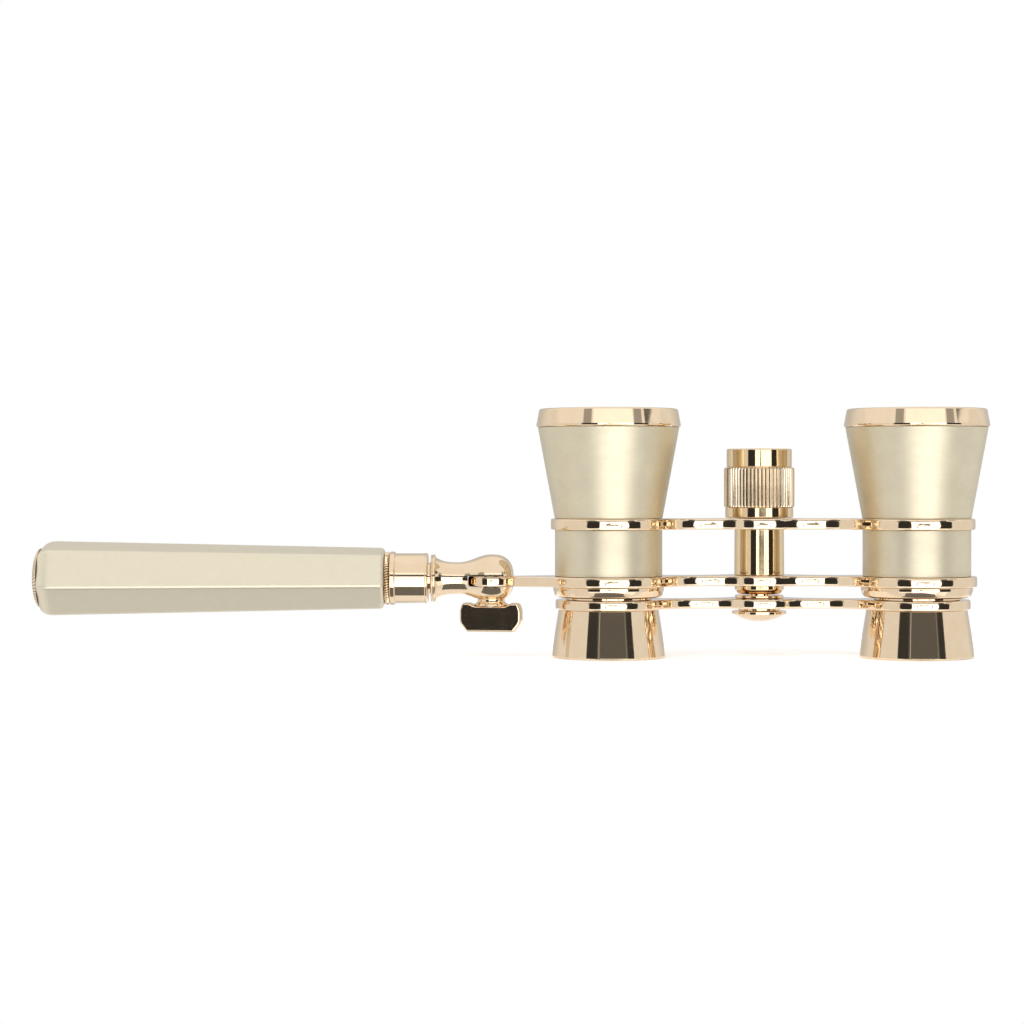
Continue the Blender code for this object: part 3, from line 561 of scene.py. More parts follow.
def tab_edge(ring_r, disc_r):
    """Back edge of the handle tab: its fillet's centre, and the points from the ring to the disc."""
    ring = Vector(LEFT_AXIS)
    corner = Vector((HINGE.x + math.sqrt(disc_r**2 - TAB_HALF_WIDTH**2), TAB_HALF_WIDTH))
    line = Vector((math.cos(TAB_TAPER), math.sin(TAB_TAPER)))
    outside = Vector((-line.y, line.x))
    start = corner + outside * TAB_FILLET_R
    along = (ring - start).dot(line)
    off = (ring - start).dot(outside)
    fillet = start + line * (along - math.sqrt((ring_r + TAB_FILLET_R) ** 2 - off**2))
    first = math.atan2(ring.y - fillet.y, ring.x - fillet.x)
    last = math.atan2(-outside.y, -outside.x)
    return fillet, arc(fillet, TAB_FILLET_R, first, last, 12)


def mirrored(point):
    """The same place on the other side of the focus shaft."""
    return Vector((2 * HUB.x - point[0], point[1]))


def bridge_outline(ring_r, hub_back_r, tab_disc_r=0.0):
    """Two rings joined through a set-back hub by waisted arms, counter-clockwise from above."""
    right_back = touching_centre(RIGHT_AXIS, ring_r, HUB_AXIS, hub_back_r, BACK_ARM_R, 1)
    right_front = touching_centre(RIGHT_AXIS, ring_r, HUB_AXIS, HUB_FRONT_R, FRONT_ARM_R, -1)
    left_back = mirrored(right_back)
    left_front = mirrored(right_front)
    points = arc_between(RIGHT_AXIS, ring_r, right_front, right_back, 1)
    points += arc_between(right_back, BACK_ARM_R, RIGHT_AXIS, HUB_AXIS, -1)
    points += arc_between(HUB_AXIS, hub_back_r, right_back, left_back, 1)
    points += arc_between(left_back, BACK_ARM_R, HUB_AXIS, LEFT_AXIS, -1)
    if tab_disc_r:
        fillet, back = tab_edge(ring_r, tab_disc_r)
        front = [(x, -y) for x, y in reversed(back)]
        corner = math.asin(TAB_HALF_WIDTH / tab_disc_r)
        tip = arc((HINGE.x, HINGE.y), tab_disc_r, corner, 2 * math.pi - corner, 72)
        points += arc_between(LEFT_AXIS, ring_r, left_back, fillet, 1)
        points += back + tip + front[:-1]
        points += arc_between(LEFT_AXIS, ring_r, (fillet.x, -fillet.y), left_front, 1)
    else:
        points += arc_between(LEFT_AXIS, ring_r, left_back, left_front, 1)
    points += arc_between(left_front, FRONT_ARM_R, LEFT_AXIS, HUB_AXIS, -1)
    points += arc_between(HUB_AXIS, HUB_FRONT_R, left_front, right_front, 1)
    points += arc_between(right_front, FRONT_ARM_R, HUB_AXIS, RIGHT_AXIS, -1)
    return points


def make_bridge(node, ring_hole, hub_hole, with_tab=False):
    low, high = (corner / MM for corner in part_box(node))
    tab_disc_r = HINGE.x - low.x if with_tab else 0.0
    outline = bridge_outline(-low.y, high.y - HUB.y, tab_disc_r)
    holes = [circle_loop(axis, ring_hole) for axis in (LEFT_AXIS, RIGHT_AXIS)]
    holes.append(circle_loop(HUB_AXIS, hub_hole))
    if with_tab:
        holes.append(circle_loop((HINGE.x, HINGE.y), HINGE.radius + 0.1))
    surface(node, plate(outline, holes, low.z, high.z, PLATE_EDGE), (0, 0, 0), gold_cast)


BARREL_HOLE_R = 10.2
SHAFT_HOLE_R = 4.3
DRAW_HOLE_R = 8.6
ROD_HOLE_R = 2.7
make_bridge("upper_bridge", BARREL_HOLE_R, SHAFT_HOLE_R)
make_bridge("middle_bridge", BARREL_HOLE_R, SHAFT_HOLE_R, with_tab=True)
make_bridge("eyepiece_bridge", DRAW_HOLE_R, ROD_HOLE_R)


# ---- Barrels ----

BELL_WALL = 1.0
SPIGOT_R = 10.0
DRAW_R = 9.0
CLEAR_R = 12.5
EYE_APERTURE_R = 6.0


def top_of(node):
    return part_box(node)[1].z / MM


def foot_of(node):
    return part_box(node)[0].z / MM


def make_objective(side):
    """Rim, bell, lens and lock ring of one barrel."""
    rim = upright(side + "_objective_rim")
    at = (rim.x, rim.y, 0.0)
    top_r = rim.radius - 0.6
    lip = 1.6
    profile = [
        (CLEAR_R + 1.5, rim.low, 0.03),
        (rim.radius - 0.25, rim.low, 0.08),
        (rim.radius, rim.low + 0.22, 0.08),
        (rim.radius, rim.low + 0.55, 0.1),
        (top_r, rim.high, 0.45),
        (CLEAR_R + 0.1, rim.high, 0.5),
        (CLEAR_R, rim.high - lip, 0.15),
        (CLEAR_R + 1.5, rim.high - lip, 0.03),
    ]
    surface(side + "_objective_rim", lathe(profile), at, gold)

    bell = upright(side + "_objective_bell")
    foot_z = top_of("upper_bridge") + SEAM
    top_z = rim.low - SEAM
    foot_r = BARRELS[side].radius + 0.05
    seat_z = foot_of(side + "_objective_lens") - SEAM
    profile = [
        (SPIGOT_R, bell.low, 0.1),
        (SPIGOT_R, foot_z, 0.0),
        (foot_r, foot_z, EDGE),
        (bell.radius, top_z, 0.15),
        (bell.radius - 1.0, top_z, 0.0),
        (bell.radius - 1.0, bell.high, 0.1),
        (CLEAR_R + 0.7, bell.high, 0.1),
        (CLEAR_R + 0.7, seat_z, 0.0),
        (CLEAR_R - 0.2, seat_z, 0.0),
        (DRAW_R, foot_z, 0.5),
        (DRAW_R, bell.low, 0.1),
    ]
    made = place(side + "_objective_bell_surface", lathe(profile), at)
    slope = (bell.radius - foot_r) / (top_z - foot_z)
    dress(made, side + "_objective_bell", [bell_satin, black_lacquer])
    for face in made.data.polygons:
        middle = face.center / MM
        skin_r = foot_r + slope * (middle.z - foot_z)
        inner = math.hypot(middle.x, middle.y) < skin_r - BELL_WALL / 2
        face.material_index = 1 if inner else 0

    lens = upright(side + "_objective_lens")
    bulge = 1.1
    edge_z = lens.high - bulge
    face_r = lens.radius - 0.3
    ball_r = (face_r**2 + bulge**2) / (2 * bulge)
    half = math.asin(face_r / ball_r)
    front = arc((0, lens.high - ball_r), ball_r, math.pi / 2, math.pi / 2 - half, 16)
    hollow = [(face_r * step / 8, lens.low + 0.4 * (1 - (step / 8) ** 2)) for step in range(9)]
    profile = hollow + [(lens.radius, lens.low + 0.05), (lens.radius, edge_z - 0.1)] + front[::-1]
    profile[-1] = (0, lens.high)
    surface(side + "_objective_lens", turned(profile), at, lens_glass)

    lock = upright(side + "_objective_lock_ring")
    corners = [(CLEAR_R, lock.low, 0.1), (lock.radius, lock.low, 0.1), (lock.radius, lock.high, 0.1)]
    corners.append((CLEAR_R, lock.high, 0.3))
    surface(side + "_objective_lock_ring", lathe(corners), at, black_lacquer)


def make_waist(side):
    """The plain tube between the bridges, and the shoulder ring below it."""
    tube = BARRELS[side]
    at = (tube.x, tube.y, 0.0)
    low = top_of("middle_bridge") + SEAM
    high = foot_of("upper_bridge") - SEAM
    corners = [(SPIGOT_R + 0.2, low, 0.0), (tube.radius, low, 0.1), (tube.radius, high, 0.1)]
    corners.append((SPIGOT_R + 0.2, high, 0.0))
    surface(side + "_waist_tube", lathe(corners), at, bell_satin)

    ring = upright(side + "_shoulder_ring")
    shoulder_z = foot_of("middle_bridge") - SEAM
    profile = [
        (DRAW_R + 0.1, ring.low, 0.1),
        (ring.radius - 0.5, ring.low, 1.0),
        (ring.radius, ring.low + 1.5, 0.8),
        (ring.radius, shoulder_z, 0.15),
        (SPIGOT_R, shoulder_z, 0.0),
        (SPIGOT_R, ring.high, 0.2),
        (DRAW_R + 0.1, ring.high, 0.2),
    ]
    surface(side + "_shoulder_ring", lathe(profile, steps=8), at, gold)


def make_eyepiece(side):
    """Draw tube, flared eyecup and eye lens."""
    draw = upright(side + "_draw_tube")
    at = (draw.x, draw.y, 0.0)
    bore_r = 6.9
    step_z = top_of("eyepiece_bridge") + SEAM
    foot_r = DRAW_HOLE_R - 0.2
    profile = [
        (bore_r, draw.low, 0.1),
        (foot_r, draw.low, 0.1),
        (foot_r, step_z, 0.0),
        (draw.radius, step_z, 0.1),
        (draw.radius, draw.high, 0.25),
        (bore_r, draw.high, 0.25),
    ]
    surface(side + "_draw_tube", lathe(profile), at, gold)

    cup = upright(side + "_eyecup")
    top_r = 10.375
    top_z = foot_of("eyepiece_bridge") - SEAM
    web_low = 3.4
    web_high = 4.0
    cup_bore = DRAW_HOLE_R
    profile = [
        (cup.radius - 1.1, 0.0, 0.3),
        (cup.radius - 0.35, 0.0, 0.12),
        (cup.radius, 0.4, 0.12),
        (top_r, top_z, 0.15),
        (cup_bore, top_z, 0.0),
        (cup_bore, web_high, 0.0),
        (EYE_APERTURE_R, web_high, 0.15),
        (EYE_APERTURE_R, web_low, 0.15),
        (EYE_APERTURE_R + 1.6, web_low - 0.3, 0.8),
    ]
    surface(side + "_eyecup", lathe(profile), at, gold)

    lens = upright(side + "_eye_lens")
    face_r = lens.radius - 1.2
    hollow = 0.5
    lower = [(face_r * step / 10, lens.low + hollow * (1 - (step / 10) ** 2)) for step in range(11)]
    upper = [(r, lens.low + lens.high - z) for r, z in reversed(lower)]
    profile = lower + [(lens.radius, lens.low), (lens.radius, lens.high)] + upper
    surface(side + "_eye_lens", turned(profile, FINE_SIDES), at, lens_glass)


for side in BARRELS:
    make_objective(side)
    make_waist(side)
    make_eyepiece(side)


# ---- Focus shaft ----

HUB_AT = (HUB.x, HUB.y, 0.0)
TEETH = 56
TOOTH_STEPS = 10
TOOTH_DEPTH = 0.36
GROOVE_SHARE = 0.80  # share of the tooth depth below which a valley gets painted shade
KNURL = 0
COLLAR = 2


def tooth(angle):
    """Depth of the coin-edge knurl at an angle: wide round ridges with narrow valleys."""
    wave = 0.5 - 0.5 * math.cos(TEETH * angle)
    return TOOTH_DEPTH * (1 - wave) ** 1.6


def make_knob():
    wheel = upright("focus_knob")
    collar_r = 7.15
    knurl_foot = 31.1
    recess_r = 5.4
    foot_z = wheel.low - 0.08
    top_r = 6.85
    bore_r = 5.0
    web_z = 33.0
    hole_r = 2.1
    recess_z = foot_z + 0.5
    plain = [(hole_r, recess_z), (recess_r, recess_z), (recess_r, foot_z)]
    plain += arc((collar_r - 0.2, foot_z + 0.2), 0.2, -math.pi / 2, 0, 4)
    plain += [(collar_r, foot_z + 0.26), (collar_r, knurl_foot - 0.16), (collar_r, knurl_foot - 0.1)]
    plain.append((collar_r - 0.1, knurl_foot))
    outer_r = wheel.radius
    ridged = [(outer_r - 0.35, knurl_foot + 0.02, 0.2), (outer_r - 0.12, knurl_foot + 0.1, 0.6)]
    ridged += [(outer_r, knurl_foot + 0.4, 1.0), (outer_r, wheel.high - 0.45, 1.0)]
    ridged += [(outer_r - 0.12, wheel.high - 0.12, 0.6), (outer_r - 0.4, wheel.high, 0.15)]
    inner = [(top_r - 0.2, wheel.high), (bore_r, wheel.high), (bore_r, web_z), (hole_r, web_z)]
    sides = TEETH * TOOTH_STEPS
    loops = [circle(r, z, sides) for r, z in plain]
    loops += [circle(r, z, sides, lambda angle, s=share: s * tooth(angle)) for r, z, share in ridged]
    loops += [circle(r, z, sides) for r, z in inner]
    made = place("focus_knob_surface", skinned(loops, ring=True), HUB_AT)
    dress(made, "focus_knob", [gold_knurl, gold_groove_shade, gold_shaft], sharp=42.0)
    for face in made.data.polygons:
        face.material_index = KNURL if face.center.z > knurl_foot * MM else COLLAR
    knurl_inner_r = 6.3

    def in_groove(angle, radius, z):
        on_knurl = knurl_foot < z < wheel.high and radius > knurl_inner_r
        return on_knurl and tooth(angle) > GROOVE_SHARE * TOOTH_DEPTH

    # painted shade: the knurl's deepest valleys get the dark groove finish
    paint_groove_shade(made, in_groove)
    make_knob_cap(wheel.high + SEAM, bore_r - 0.1)


def make_knob_cap(foot, plug_r):
    cap = upright("focus_knob_cap")
    panel_z = cap.high - 0.15
    profile = [
        (0, cap.low, 0.0),
        (plug_r, cap.low, 0.1),
        (plug_r, foot, 0.0),
        (cap.radius - 0.1, foot, 0.05),
        (cap.radius, foot + 0.15, 0.1),
        (cap.radius, cap.high, 0.3),
        (cap.radius - 1.2, cap.high, 0.3),
        (cap.radius - 1.6, panel_z, 0.3),
        (0, panel_z, 0.0),
    ]
    surface("focus_knob_cap", lathe(profile), HUB_AT, gold_shaft)


def make_housing():
    low = top_of("middle_bridge") + SEAM
    high = foot_of("upper_bridge") - SEAM
    spigot_r = SHAFT_HOLE_R - 0.2
    bore_r = 3.3
    neck_r = bore_r - 1.1
    neck_z = HUB.high - 1.2
    taper = 0.06
    profile = [
        (bore_r, HUB.low, 0.1),
        (spigot_r, HUB.low, 0.1),
        (spigot_r, low, 0.0),
        (HUB.radius, low, 0.1),
        (HUB.radius - taper, high, 0.1),
        (spigot_r, high, 0.0),
        (spigot_r, HUB.high, 0.1),
        (neck_r, HUB.high, 0.1),
        (neck_r, neck_z, 0.0),
        (bore_r, neck_z, 0.0),
    ]
    surface("focus_housing", lathe(profile, FINE_SIDES), HUB_AT, gold_shaft)

    gland = upright("gland_cap")
    shoulder_z = foot_of("middle_bridge") - SEAM
    profile = [
        (ROD_HOLE_R, gland.low, 0.1),
        (gland.radius - 0.7, gland.low, 0.8),
        (gland.radius, gland.low + 0.9, 0.5),
        (gland.radius, shoulder_z, 0.12),
        (ROD_HOLE_R, shoulder_z, 0.0),
    ]
    surface("gland_cap", lathe(profile, FINE_SIDES, steps=8), HUB_AT, gold_shaft)


def make_focus_rod():
    rod = upright("focus_rod")
    rod_r = 2.5
    flange_low = top_of("eyepiece_bridge") + SEAM
    flange_high = flange_low + 0.6
    hole_r = 1.6
    web_low = 13.2
    web_high = 14.0
    profile = [
        (0, web_low, 0.0),
        (hole_r, web_low, 0.0),
        (hole_r, rod.low, 0.1),
        (rod_r, rod.low, 0.1),
        (rod_r, flange_low, 0.0),
        (rod.radius, flange_low, 0.12),
        (rod.radius, flange_high, 0.2),
        (rod_r, flange_high, 0.0),
        (rod_r, rod.high, 0.2),
        (hole_r, rod.high, 0.2),
        (hole_r, web_high, 0.0),
        (0, web_high, 0.0),
    ]
    surface("focus_rod", lathe(profile, FINE_SIDES), HUB_AT, gold)

    washer = upright("rod_washer")
    high = foot_of("eyepiece_bridge") - SEAM
    corners = [(hole_r, washer.low, 0.05), (washer.radius, washer.low, 0.15)]
    corners += [(washer.radius, high, 0.15), (hole_r, high, 0.05)]
    surface("rod_washer", lathe(corners, FINE_SIDES), HUB_AT, gold)

    screw = upright("rod_screw")
    head_top = washer.low - SEAM
    dome_rise = 1.75
    ball_r = (screw.radius**2 + dome_rise**2) / (2 * dome_rise)
    half = math.asin(screw.radius / ball_r)
    dome = arc((0, screw.low + ball_r), ball_r, -math.pi / 2, half - math.pi / 2, 24)
    dome[0] = (0, screw.low)
    rim = arc((screw.radius - 0.15, head_top - 0.15), 0.15, 0, math.pi / 2, 4)
    shank_r = hole_r - 0.2
    profile = dome[:-1] + [(screw.radius - 0.03, dome[-1][1] - 0.03)] + rim
    profile += [(shank_r, head_top), (shank_r, screw.high - 0.2)]
    profile += [(shank_r - 0.2, screw.high), (0, screw.high)]
    surface("rod_screw", turned(profile, FINE_SIDES), HUB_AT, gold)


make_knob()
make_housing()
make_focus_rod()


# ---- Handle ----

HANDLE_AT = (HINGE.x, HINGE.y, HANDLE_Z)
BALL_POWER = 2.6
NECK_R = 3.3
NECK_AT = 6.8
NECK_FLARE_R = 4.35
SLOT_DEPTH = 4.86


def clevis_outline(clevis, ball_r):
    """Ball, waisted neck, flange and spigot, as (radius, distance from the hinge) points."""
    reach = -clevis.low
    points = [(0.0, -reach)]
    ball_steps = 40
    for step in range(1, ball_steps):
        way = -reach * math.cos(math.pi / 2 * step / ball_steps)
        points.append((ball_r * (1 - abs(way / reach) ** BALL_POWER) ** (1 / BALL_POWER), way))
    spigot_length = 7.5
    flange_end = clevis.high - spigot_length
    flange_foot = flange_end - 1.0
    wave_steps = 36
    for step in range(wave_steps + 1):
        share = step / wave_steps
        radius = NECK_R + (ball_r - NECK_R) * (0.5 + 0.5 * math.cos(math.pi * share))
        points.append((radius, NECK_AT * share))
    flare_steps = 24
    for step in range(1, flare_steps + 1):
        share = step / flare_steps
        radius = NECK_R + (NECK_FLARE_R - NECK_R) * share**3
        points.append((radius, NECK_AT + (flange_foot - NECK_AT) * share))
    spigot_r = 2.5
    points += arc((clevis.radius - 0.3, flange_foot + 0.35), 0.3, -0.6, math.pi / 3, 4)
    points += arc((clevis.radius - 0.2, flange_end - 0.2), 0.2, 0, math.pi / 2, 3)
    return points + [(spigot_r, flange_end), (spigot_r, clevis.high), (0, clevis.high)]


def block(low, high):
    bm = bmesh.new()
    bmesh.ops.create_cube(bm, size=1.0)
    bmesh.ops.scale(bm, vec=Vector(high) - Vector(low), verts=bm.verts)
    bmesh.ops.translate(bm, vec=(Vector(low) + Vector(high)) / 2, verts=bm.verts)
    return bm


def make_clevis():
    """The round fork: in its own axes +Z runs out along the handle and +X points up."""
    clevis = outward("clevis")
    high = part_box("clevis")[1].z / MM
    ball_r = high - HANDLE_Z
    made = place("clevis_surface", turned(clevis_outline(clevis, ball_r), FINE_SIDES), HANDLE_AT, True)
    wide = ball_r + 2.0
    slot_low = foot_of("middle_bridge") - 0.1 - HANDLE_Z
    slot_high = top_of("middle_bridge") + 0.1 - HANDLE_Z
    boolean(made, block((slot_low, -wide, -wide), (slot_high, wide, SLOT_DEPTH)), "DIFFERENCE")
    spot_z = foot_of("clevis") - HANDLE_Z
    boolean(made, block((spot_z - 2.0, -wide, -wide), (spot_z, wide, ball_r)), "DIFFERENCE")
    dress(made, "clevis", [gold_cast], sharp=32.0)

    tube = outward("handle_inner_tube")
    bore_r = 2.6
    corners = [(bore_r, tube.low, 0.1), (tube.radius, tube.low, 0.1), (tube.radius, tube.high, 0.2)]
    corners.append((bore_r, tube.high, 0.1))
    bm = lathe(corners, FINE_SIDES)
    surface("handle_inner_tube", bm, HANDLE_AT, gold, along_handle=True)


COLLAR_SIDES = 64


def make_thumb_screw():
    """The wing: a flat plate with a saddle in its top, and a collar that flares into the saddle."""
    wing_low = foot_of("thumb_screw_wing")
    collar_top = top_of("thumb_screw_wing")
    wing_top = 11.3
    saddle_z = 10.75
    half_thickness = 1.5
    yaw = math.radians(-10.5)
    half = 6.52
    corners = [
        (5.0, wing_low, 0.6),
        (half, wing_low + 2.0, 2.2),
        (half, wing_top - 1.5, 1.8),
        (6.0, wing_top, 0.8),
        (4.4, wing_top, 1.0),
        (3.1, saddle_z, 1.0),
    ]
    corners += [(-x, z, radius) for x, z, radius in reversed(corners)]
    outline = rounded(corners, steps=10)
    bm = plate(outline, [], -half_thickness, half_thickness, edge=0.42, power=2.6)
    upright_turn = Matrix.Rotation(yaw, 3, "Z") @ Matrix.Rotation(math.pi / 2, 3, "X")
    bmesh.ops.rotate(bm, cent=(0, 0, 0), matrix=upright_turn, verts=bm.verts)
    made = place("thumb_screw_wing_surface", bm, (HINGE.x, HINGE.y, 0.0))
    collar_r = 2.8
    flare = [(0, -0.5), (1.2, -0.5), (1.4, -0.04), (3.3, -0.04), (3.55, 0.1), (3.5, 0.35), (3.1, 0.55)]
    flare += [(2.85, 0.8), (collar_r, 1.1)]
    collar = [(radius, saddle_z + rise) for radius, rise in flare]
    collar += [(collar_r, collar_top - 0.15), (2.65, collar_top), (0, collar_top)]
    boolean(made, turned(collar, COLLAR_SIDES), "UNION")
    dress(made, "thumb_screw_wing", [gold_cast], sharp=35.0)


def fluted(depth, strands, phase):
    """A ripple of round strands with narrow grooves between them."""
    return lambda angle: depth * (0.5 - 0.5 * math.cos(strands * angle + phase)) ** 0.7


def roped(radius, low, high, depth, strands, lean, sides_each=8, rows=10):
    """Loops of a rounded rim of twisted strands; lean is how far one turns across it, in strands."""
    loops = []
    for row in range(rows + 1):
        share = row / rows
        z = low + (high - low) * share
        crown = 0.45 * (high - low) * (1 - math.sqrt(max(0.0, 1 - (2 * share - 1) ** 2)))
        ripple = fluted(depth, strands, 2 * math.pi * lean * share)
        loops.append(circle(radius - crown, z, strands * sides_each, ripple))
    return loops


FERRULE_SPIGOT_R = 4.6
FERRULE_FLANGE = (20.0, 21.0)


def make_ferrule():
    ferrule = outward("grip_ferrule")
    lip_r = 3.4
    lip_end = ferrule.low + 1.5
    flange_low, flange_high = FERRULE_FLANGE
    body_r = 5.17
    band_r = body_r + 0.1
    bore_r = 4.1
    profile = [
        (lip_r, ferrule.low, 0.1),
        (body_r - 0.25, ferrule.low, 0.1),
        (band_r, ferrule.low + 0.25, 0.12),
        (band_r, ferrule.low + 0.5, 0.12),
        (body_r, ferrule.low + 0.65, 0.05),
        (body_r, flange_low - 0.12, 0.05),
        (ferrule.radius, flange_low, 0.2),
        (ferrule.radius, flange_high, 0.2),
        (FERRULE_SPIGOT_R, flange_high, 0.0),
        (FERRULE_SPIGOT_R, ferrule.high, 0.1),
        (bore_r, ferrule.high, 0.1),
        (bore_r, lip_end, 0.0),
        (lip_r, lip_end, 0.0),
    ]
    bm = lathe(profile, FINE_SIDES)
    surface("grip_ferrule", bm, HANDLE_AT, gold, along_handle=True)


def make_rope_ring():
    ring = outward("grip_knurled_ring")
    low = FERRULE_FLANGE[1] + SEAM
    high = ring.high + 0.05
    bore_r = FERRULE_SPIGOT_R + 0.1
    strands = 58
    lean = 0.5
    groove_level = -0.5
    rope = roped(ring.radius, low, high, 0.34, strands, lean)
    sides = len(rope[0])
    loops = [circle(bore_r, low, sides)] + rope + [circle(bore_r, high, sides)]
    made = place("grip_knurled_ring_surface", skinned(loops, ring=True), HANDLE_AT, True)
    dress(made, "grip_knurled_ring", [gold, gold_groove_shade], sharp=60.0)

    def between_strands(angle, radius, z):
        phase = 2 * math.pi * lean * (z - low) / (high - low)
        return math.cos(strands * angle + phase) < groove_level

    # painted shade: the grooves between the rope's strands get the dark groove finish
    paint_groove_shade(made, between_strands)


def make_end_cap():
    cap = outward("grip_end_cap")
    plug_r = 2.8
    foot_z = cap.low + 2.24
    dome = cap.high - foot_z
    strands = 52
    flute = 0.32
    lean = 1.3
    groove_level = -0.72
    fluted_share = 0.6
    sides = strands * 8
    loops = [[(0.0, 0.0, cap.low)], circle(plug_r, cap.low, sides), circle(plug_r, foot_z, sides)]
    dome_steps = 22
    for step in range(dome_steps):
        share = step / dome_steps
        angle = math.pi / 2 * share
        fade = min(1.0, share * 6 + 0.3) * max(0.0, 1.0 - share * 1.5)
        ripple = fluted(flute * fade, strands, 2 * math.pi * lean * math.sin(angle))
        z = foot_z + dome * math.sin(angle)
        loops.append(circle(cap.radius * math.cos(angle), z, sides, ripple))
    loops.append([(0.0, 0.0, cap.high)])
    made = place("grip_end_cap_surface", skinned(loops), HANDLE_AT, True)
    dress(made, "grip_end_cap", [gold, gold_groove_shade], sharp=60.0)

    def between_flutes(angle, radius, z):
        rise = (z - foot_z) / dome
        leaning = strands * angle + 2 * math.pi * lean * rise
        return 0 < rise < fluted_share and math.cos(leaning) < groove_level

    # painted shade: the grooves between the cap's flutes get the dark groove finish
    paint_groove_shade(made, between_flutes)


def hexagon_loop(apothem, corner_r, z, turn, corner_steps=6, side_steps=4):
    """A six-sided section with rounded corners; each flat is cut into side_steps."""
    flat = (apothem - corner_r) * math.tan(math.pi / 6)
    points = []
    for side_index in range(6):
        facing = turn + math.pi / 3 * side_index
        normal = Vector((math.cos(facing), math.sin(facing)))
        along = Vector((-normal.y, normal.x))
        for step in range(side_steps):
            points.append(normal * apothem + along * flat * (2 * step / side_steps - 1))
        centre = normal * (apothem - corner_r) + along * flat
        points += [Vector(p) for p in arc(centre, corner_r, facing, facing + math.pi / 3, corner_steps)]
    return [(point.x, point.y, z) for point in points]


def make_grip():
    """The tapered six-sided grip, its edges softened and its ends turned over."""
    grip = outward("grip")
    start_apothem = 5.75
    end_apothem = 7.05
    facing = math.radians(30.0 + 17.0)
    edge_r = 0.9
    bore_r = 4.1
    counterbore_r = 4.8
    counterbore_end = 28.7
    pocket_r = 3.0
    bore_end = grip.high - 3.8

    def section(z, inset):
        share = (z - grip.low) / (grip.high - grip.low)
        apothem = start_apothem + (end_apothem - start_apothem) * share - inset
        return hexagon_loop(apothem, edge_r + inset * 0.8, z, facing)

    def bore(radius, z):
        """A round loop with as many points as a section."""
        points = []
        for x, y, _ in section(grip.low, 0.0):
            way = Vector((x, y)).normalized() * radius
            points.append((way.x, way.y, z))
        return points

    roll_steps = 8
    angles = [math.pi / 2 * step / roll_steps for step in range(roll_steps + 1)]
    near_along, near_inset = 0.9, 0.65
    far_along, far_inset = 3.0, 1.6
    loops = []
    for angle in angles:
        z = grip.low + near_along * (1 - math.cos(angle))
        loops.append(section(z, near_inset * (1 - math.sin(angle))))
    loops.append(section((grip.low + grip.high) / 2, 0.0))
    for angle in angles:
        z = grip.high - far_along * (1 - math.sin(angle))
        loops.append(section(z, far_inset * (1 - math.cos(angle))))
    loops += [bore(pocket_r, grip.high), bore(pocket_r, bore_end), bore(bore_r, bore_end)]
    loops += [bore(bore_r, counterbore_end), bore(counterbore_r, counterbore_end)]
    loops.append(bore(counterbore_r, grip.low))
    surface("grip", skinned(loops, ring=True), HANDLE_AT, grip_paint, along_handle=True, sharp=60.0)


make_clevis()
make_thumb_screw()
make_ferrule()
make_rope_ring()
make_end_cap()
make_grip()


# ---- Studio ----

# Cards round the object, as (left, right, low, high) angles seen from it: 0 is straight in front,
# positive angles are to the right and above; then brightness, and how square the corners are.
CARDS = (
    (-130.0, 130.0, 16.0, 75.0, 0.97, 14.0),
    (-27.0, 39.0, 18.6, 27.0, 1.35, 12.0),
    (-44.0, -30.0, 18.6, 30.0, 0.40, 16.0),
    (41.0, 55.0, 18.6, 30.0, 0.40, 16.0),
    (60.0, 78.0, 18.6, 31.0, 0.14, 16.0),
    (-48.0, 52.0, 9.0, 18.2, 0.12, 40.0),
    (-48.0, -25.5, 9.0, 18.2, 0.045, 40.0),
    (38.5, 52.0, 9.0, 18.2, 0.045, 40.0),
    (-22.5, -20.8, 9.0, 18.2, 0.50, 40.0),
    (35.0, 36.5, 9.0, 18.2, 0.28, 40.0),
    (-48.0, 62.0, -38.0, -14.0, 1.25, 10.0),
    (-19.5, 37.0, -38.0, 9.0, 2.3, 24.0),
    (-45.0, -18.5, -14.0, 8.5, 0.035, 4.0),
    (34.5, 65.0, -14.0, 8.5, 0.035, 3.0),
    (26.0, 39.0, -9.5, 4.5, 2.3, 2.0),
    (-8.6, -6.6, -9.0, -0.6, 0.30, 3.0),
    (23.6, 25.6, -9.0, -0.6, 0.30, 3.0),
    (-2.0, 2.0, -0.1, 1.6, 0.10, 12.0),
    (-6.0, 18.0, -1.75, -0.02, 0.24, 20.0),
)
# Boards below, in front, as (pitch limits, half width, brightness).
BOARDS = ((-112.0, -86.0, 60.0, 1.0), (-86.0, -38.0, 27.0, 0.17))
BOARD_SQUARE = 10.0
# Fades of the tent, as (start angle, end angle, brightness or share at each).
TENT_BACK = (115.0, 155.0, 0.86, 0.60)
TENT_TOP = (30.0, 62.0, 0.0, 1.0)


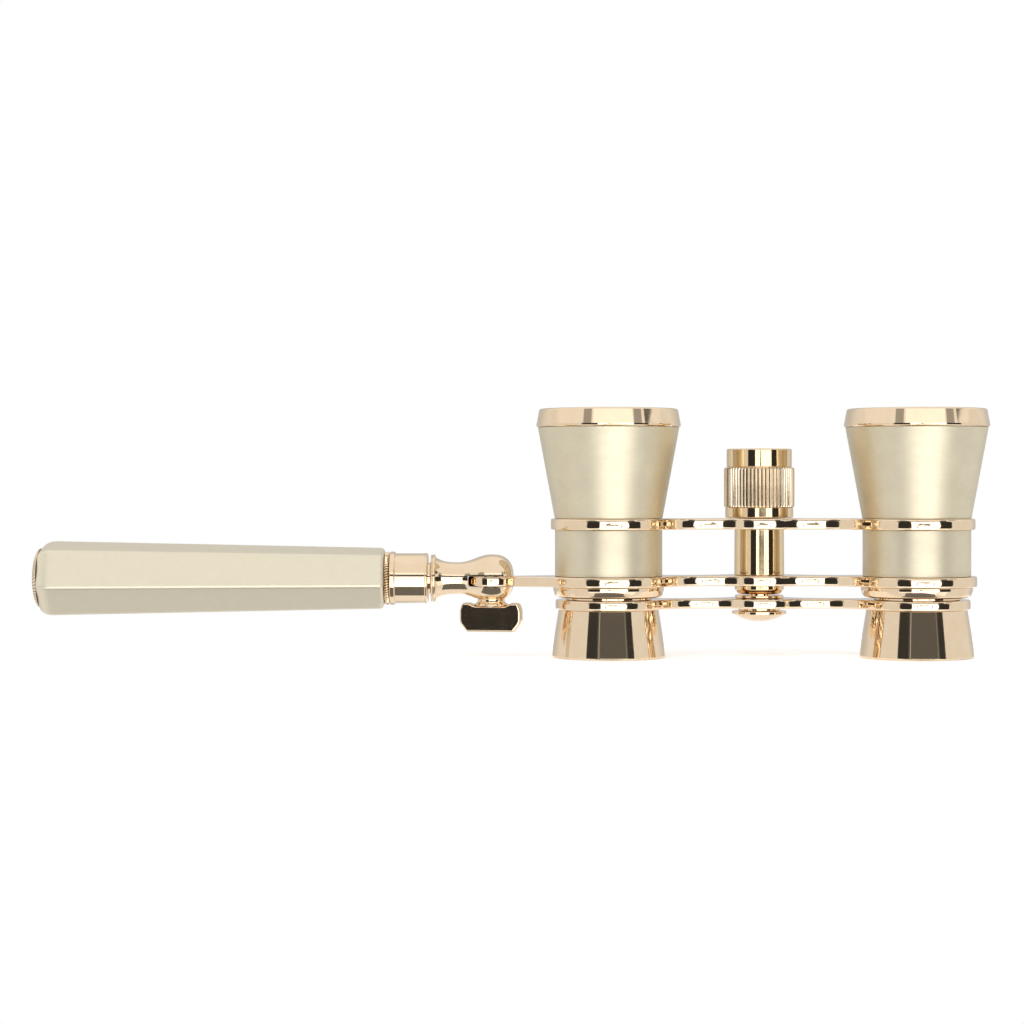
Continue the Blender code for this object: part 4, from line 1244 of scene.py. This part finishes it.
def make_world():
    """A light tent, dimmer behind, with cards in front; the camera itself sees plain white."""
    world = bpy.data.worlds.new("studio")
    world.use_nodes = True
    bpy.context.scene.world = world
    tree = world.node_tree
    tree.nodes.clear()
    graph = Graph(tree)
    direction = graph.add("ShaderNodeTexCoord").outputs["Generated"]
    axes = graph.add("ShaderNodeSeparateXYZ", {"Vector": direction}).outputs
    forward = graph.math("MULTIPLY", axes["Y"], -1.0)
    around = graph.degrees("ARCTAN2", axes["X"], forward)
    above = graph.degrees("ARCSINE", axes["Z"])
    level = graph.ranged(graph.math("ABSOLUTE", around), *TENT_BACK, "SMOOTHSTEP")
    overhead = graph.ranged(graph.math("ABSOLUTE", above), *TENT_TOP, "SMOOTHSTEP")
    level = graph.moved(level, overhead, 1.0)
    pitch = graph.degrees("ARCTAN2", axes["Z"], forward)
    aside = graph.degrees("ARCSINE", axes["X"])
    for low, high, half, brightness in BOARDS:
        inside = graph.inside((aside, -half, half), (pitch, low, high), BOARD_SQUARE)
        level = graph.moved(level, inside, brightness)
    for left, right, low, high, brightness, square in CARDS:
        inside = graph.inside((around, left, right), (above, low, high), square)
        level = graph.moved(level, inside, brightness)
    seen = graph.add("ShaderNodeLightPath").outputs["Is Camera Ray"]
    level = graph.moved(level, seen, 1.0)
    background = graph.add("ShaderNodeBackground", {"Strength": level})
    output = graph.add("ShaderNodeOutputWorld")
    tree.links.new(background.outputs["Background"], output.inputs["Surface"])
    background.inputs["Color"].default_value = (1.0, 1.0, 1.0, 1.0)
    world.cycles.sampling_method = "AUTOMATIC"


FLOOR_REACH = (84.0, 52.0)
FLOOR_AT = (HUB.x, 32.0, -0.02)
FLOOR_FADE = (0.80, 0.98)  # shares of its reach


def make_floor():
    """A pale table top under the object; it fades out into the white all round."""
    wide, deep = FLOOR_REACH
    bm = bmesh.new()
    corners = ((-wide, -deep), (wide, -deep), (wide, deep), (-wide, deep))
    bm.faces.new([bm.verts.new((x, y, 0.0)) for x, y in corners])
    bmesh.ops.subdivide_edges(bm, edges=bm.edges, cuts=8, use_grid_fill=True)
    made = place("floor", bm, FLOOR_AT)
    finish, graph, shader = new_finish("pale_floor")
    spot = graph.object_mm((1 / wide, 1 / deep, 0.0))
    far = graph.add("ShaderNodeVectorMath", {0: spot}, operation="LENGTH").outputs["Value"]
    shader.inputs["Base Color"].default_value = (0.86, 0.86, 0.86, 1.0)
    shader.inputs["Roughness"].default_value = 0.8
    shader.inputs["Emission Color"].default_value = (1.0, 1.0, 1.0, 1.0)
    shader.inputs["Emission Strength"].default_value = 0.35
    link(graph, shader, Alpha=graph.ranged(far, *FLOOR_FADE, 1.0, 0.0, "SMOOTHSTEP"))
    made.data.materials.append(finish)


def make_softbox(name, at, size, power):
    """A large soft light aimed at the object; it lights and isn't mirrored."""
    data = bpy.data.lights.new(name, "AREA")
    data.shape = "RECTANGLE"
    data.size, data.size_y = (length * MM for length in size)
    data.energy = power
    light = bpy.data.objects.new(name, data)
    bpy.context.scene.collection.objects.link(light)
    light.location = Vector(at) * MM
    light.rotation_euler = (-light.location).to_track_quat("-Z", "Y").to_euler()
    light.visible_glossy = False


make_world()
make_floor()
make_softbox("key_softbox", (-250.0, -500.0, 700.0), (600.0, 400.0), 2.0)
bpy.context.scene.view_settings.view_transform = "Standard"
